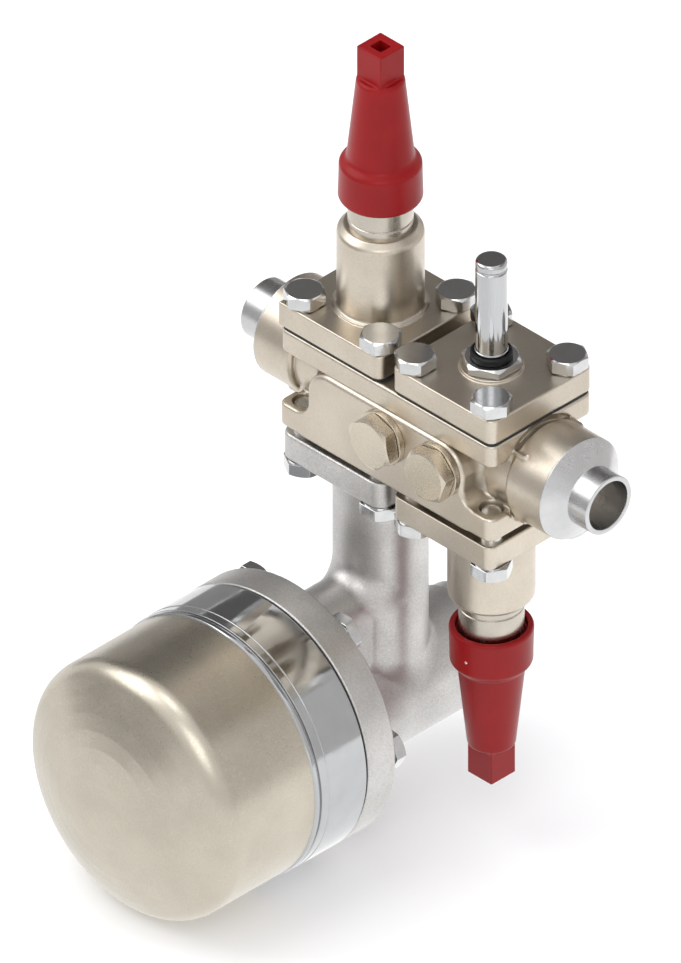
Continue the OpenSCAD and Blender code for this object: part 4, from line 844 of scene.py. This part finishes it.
def dome_outline(r, length, corner, crown):
    """The profile of a pressed dome: a straight wall, a round corner and a wide crown."""
    crown_z, corner_r = length - crown, r - corner
    corner_z = crown_z + math.sqrt((crown - corner) ** 2 - corner_r ** 2)
    lean = math.atan2(corner_r, corner_z - crown_z)
    out = [(r, 0)]
    for i in range(17):
        a = i * (math.pi / 2 - lean) / 16
        out.append((corner_r + corner * math.cos(a), corner_z + corner * math.sin(a)))
    for i in range(7, -1, -1):
        out.append((crown * math.sin(lean * i / 8), crown_z + crown * math.cos(lean * i / 8)))
    return out


facing_front = Matrix.Translation((INLET_X, RING_BACK_Y, CHAMBER_Z)) @ Matrix.Rotation(math.radians(90), 4, "X")
ring_steel = turned_steel("ground bright steel of the chamber ring", "#b4b5b6", 0.6, 0.003, 0.1, "Y",
                          (INLET_X, 0, CHAMBER_Z))
ring_profile = rounded_profile([
    (MOUTH_R, 0), (CHAMBER_R - 0.2, 0), (CHAMBER_R, 0.3), (CHAMBER_R, RING_STEP),
    (CHAMBER_R - 0.25, RING_STEP + 0.15), (CHAMBER_R - 0.25, RING_GROOVE), (CHAMBER_R - 1.3, RING_GROOVE + 0.3),
    (CHAMBER_R - 1.3, RING_GROOVE + 0.8), (CHAMBER_R - 0.5, RING_GROOVE + 1.0),
    (CHAMBER_R - 0.15, RING_GROOVE + 1.7), (CHAMBER_R - 0.3, RING_L - 0.6), (DOME_R, RING_L),
    (DOME_R - DOME_WALL, RING_L), (MOUTH_R, RING_L - 8), (MOUTH_R, 0.01)], 0.25, 3)
ring = turned_mesh("chamber_ring_turned", ring_profile, facing_front, 192)
finished(ring, ring_steel, "station", "turned_steel", "chamber_ring")
dome_inside = dome_outline(DOME_R - DOME_WALL, DOME_L - DOME_WALL, DOME_CORNER - DOME_WALL,
                           DOME_CROWN - DOME_WALL)
dome = turned_mesh("chamber_dome_pressed", dome_outline(DOME_R, DOME_L, DOME_CORNER, DOME_CROWN)
                   + dome_inside[::-1] + [(DOME_R, 0)], facing_front @ Matrix.Translation((0, 0, RING_L)), 192)
dome_nickel = satin_nickel("satin nickel-plated pressed dome", "#c0b9ab", "#aea79a", 0.7, 0.012, 0.3, 0.4)
finished(dome, dome_nickel, "station", "plated_steel", "chamber_dome")
behind = Matrix.Translation((INLET_X, CHAMBER_BACK_Y, CHAMBER_Z)) @ Matrix.Rotation(math.radians(-90), 4, "X")
bolts = bolt_set("chamber_bolts_heads",
                 [(behind @ Matrix.Rotation(2 * math.pi * i / CHAMBER_BOLTS, 4, "Z")
                   @ Matrix.Translation((CHAMBER_BOLT_R, 0, 0)), 0) for i in range(CHAMBER_BOLTS)],
                 BOLT_AF, BOLT_HEAD_H, BOLT_R, CHAMBER_BOLT_L)
finished(bolts, zinc_plate, "station", "zinc_steel", "chamber_bolts")

# The gaskets, and the inner parts that show only when the station is opened: they keep their CAD
# shapes, and each gets the finish of its real material.
def gasket_fibre(name):
    """Pressed aramid fibre board: nearly black, matt, with a short flecked felt of fibres."""
    material, tree = empty_material(name)
    place = add(tree, "ShaderNodeTexCoord").outputs["Object"]
    felt = add(tree, "ShaderNodeTexNoise", {"Vector": place, "Scale": 1 / (0.6 * MM), "Detail": 4.0})
    tint = add(tree, "ShaderNodeMix", {0: felt.outputs[0], 6: linear("#121314"), 7: linear("#262829")},
               data_type="RGBA")
    bump = add(tree, "ShaderNodeBump", {"Height": felt.outputs[0], "Strength": 1.0, "Distance": 0.02 * MM})
    shader = add(tree, "ShaderNodeBsdfPrincipled", {"Base Color": tint.outputs[2], "Roughness": 0.8,
                                                    "Normal": bump.outputs[0]})
    add(tree, "ShaderNodeOutputMaterial", {"Surface": shader.outputs[0]})
    return material


def white_ptfe(name):
    """Turned PTFE: milky white, waxy, with soft clouds."""
    material, tree = empty_material(name)
    place = add(tree, "ShaderNodeTexCoord").outputs["Object"]
    cloud = add(tree, "ShaderNodeTexNoise", {"Vector": place, "Scale": 1 / (3 * MM), "Detail": 3.0})
    tint = add(tree, "ShaderNodeMix", {0: cloud.outputs[0], 6: linear("#eceae4"), 7: linear("#dddad2")},
               data_type="RGBA")
    shader = add(tree, "ShaderNodeBsdfPrincipled", {"Base Color": tint.outputs[2], "Roughness": 0.45})
    add(tree, "ShaderNodeOutputMaterial", {"Surface": shader.outputs[0]})
    return material


inner_steel = bright_zinc("fine machined steel of the inner parts", "#b9bbbe", 0.25)
spring_steel = bright_zinc("drawn spring steel wire", "#8e8f91", 0.3)
fibre, ptfe = gasket_fibre("pressed fibre gasket board"), white_ptfe("white turned ptfe")
INNER_FINISHES = [
    (fibre, ["inlet_gasket", "outlet_gasket", "solenoid_gasket", "float_gasket", "chamber_gasket"]),
    (rubber, ["inlet_cap_seal", "outlet_cap_seal", "rear_plug_seal"]),
    (ptfe, ["inlet_packing_rings", "outlet_packing_rings", "inlet_cone_seal", "outlet_cone_seal", "piston_ring"]),
    (spring_steel, ["armature_spring", "piston_spring"]),
    (inner_steel, ["inlet_seat_ring", "inlet_gland_nut", "inlet_spindle", "inlet_valve_cone",
                   "outlet_seat_ring", "outlet_gland_nut", "outlet_spindle", "outlet_valve_cone",
                   "solenoid_cage", "armature", "main_piston", "riser_tube", "orifice_body", "float_bracket",
                   "float_pin", "float_arm", "float_ball", "orifice_needle"]),
]
for material, nodes in INNER_FINISHES:
    for node in nodes:
        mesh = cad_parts[node].data
        mesh.materials.clear()
        mesh.materials.append(material)
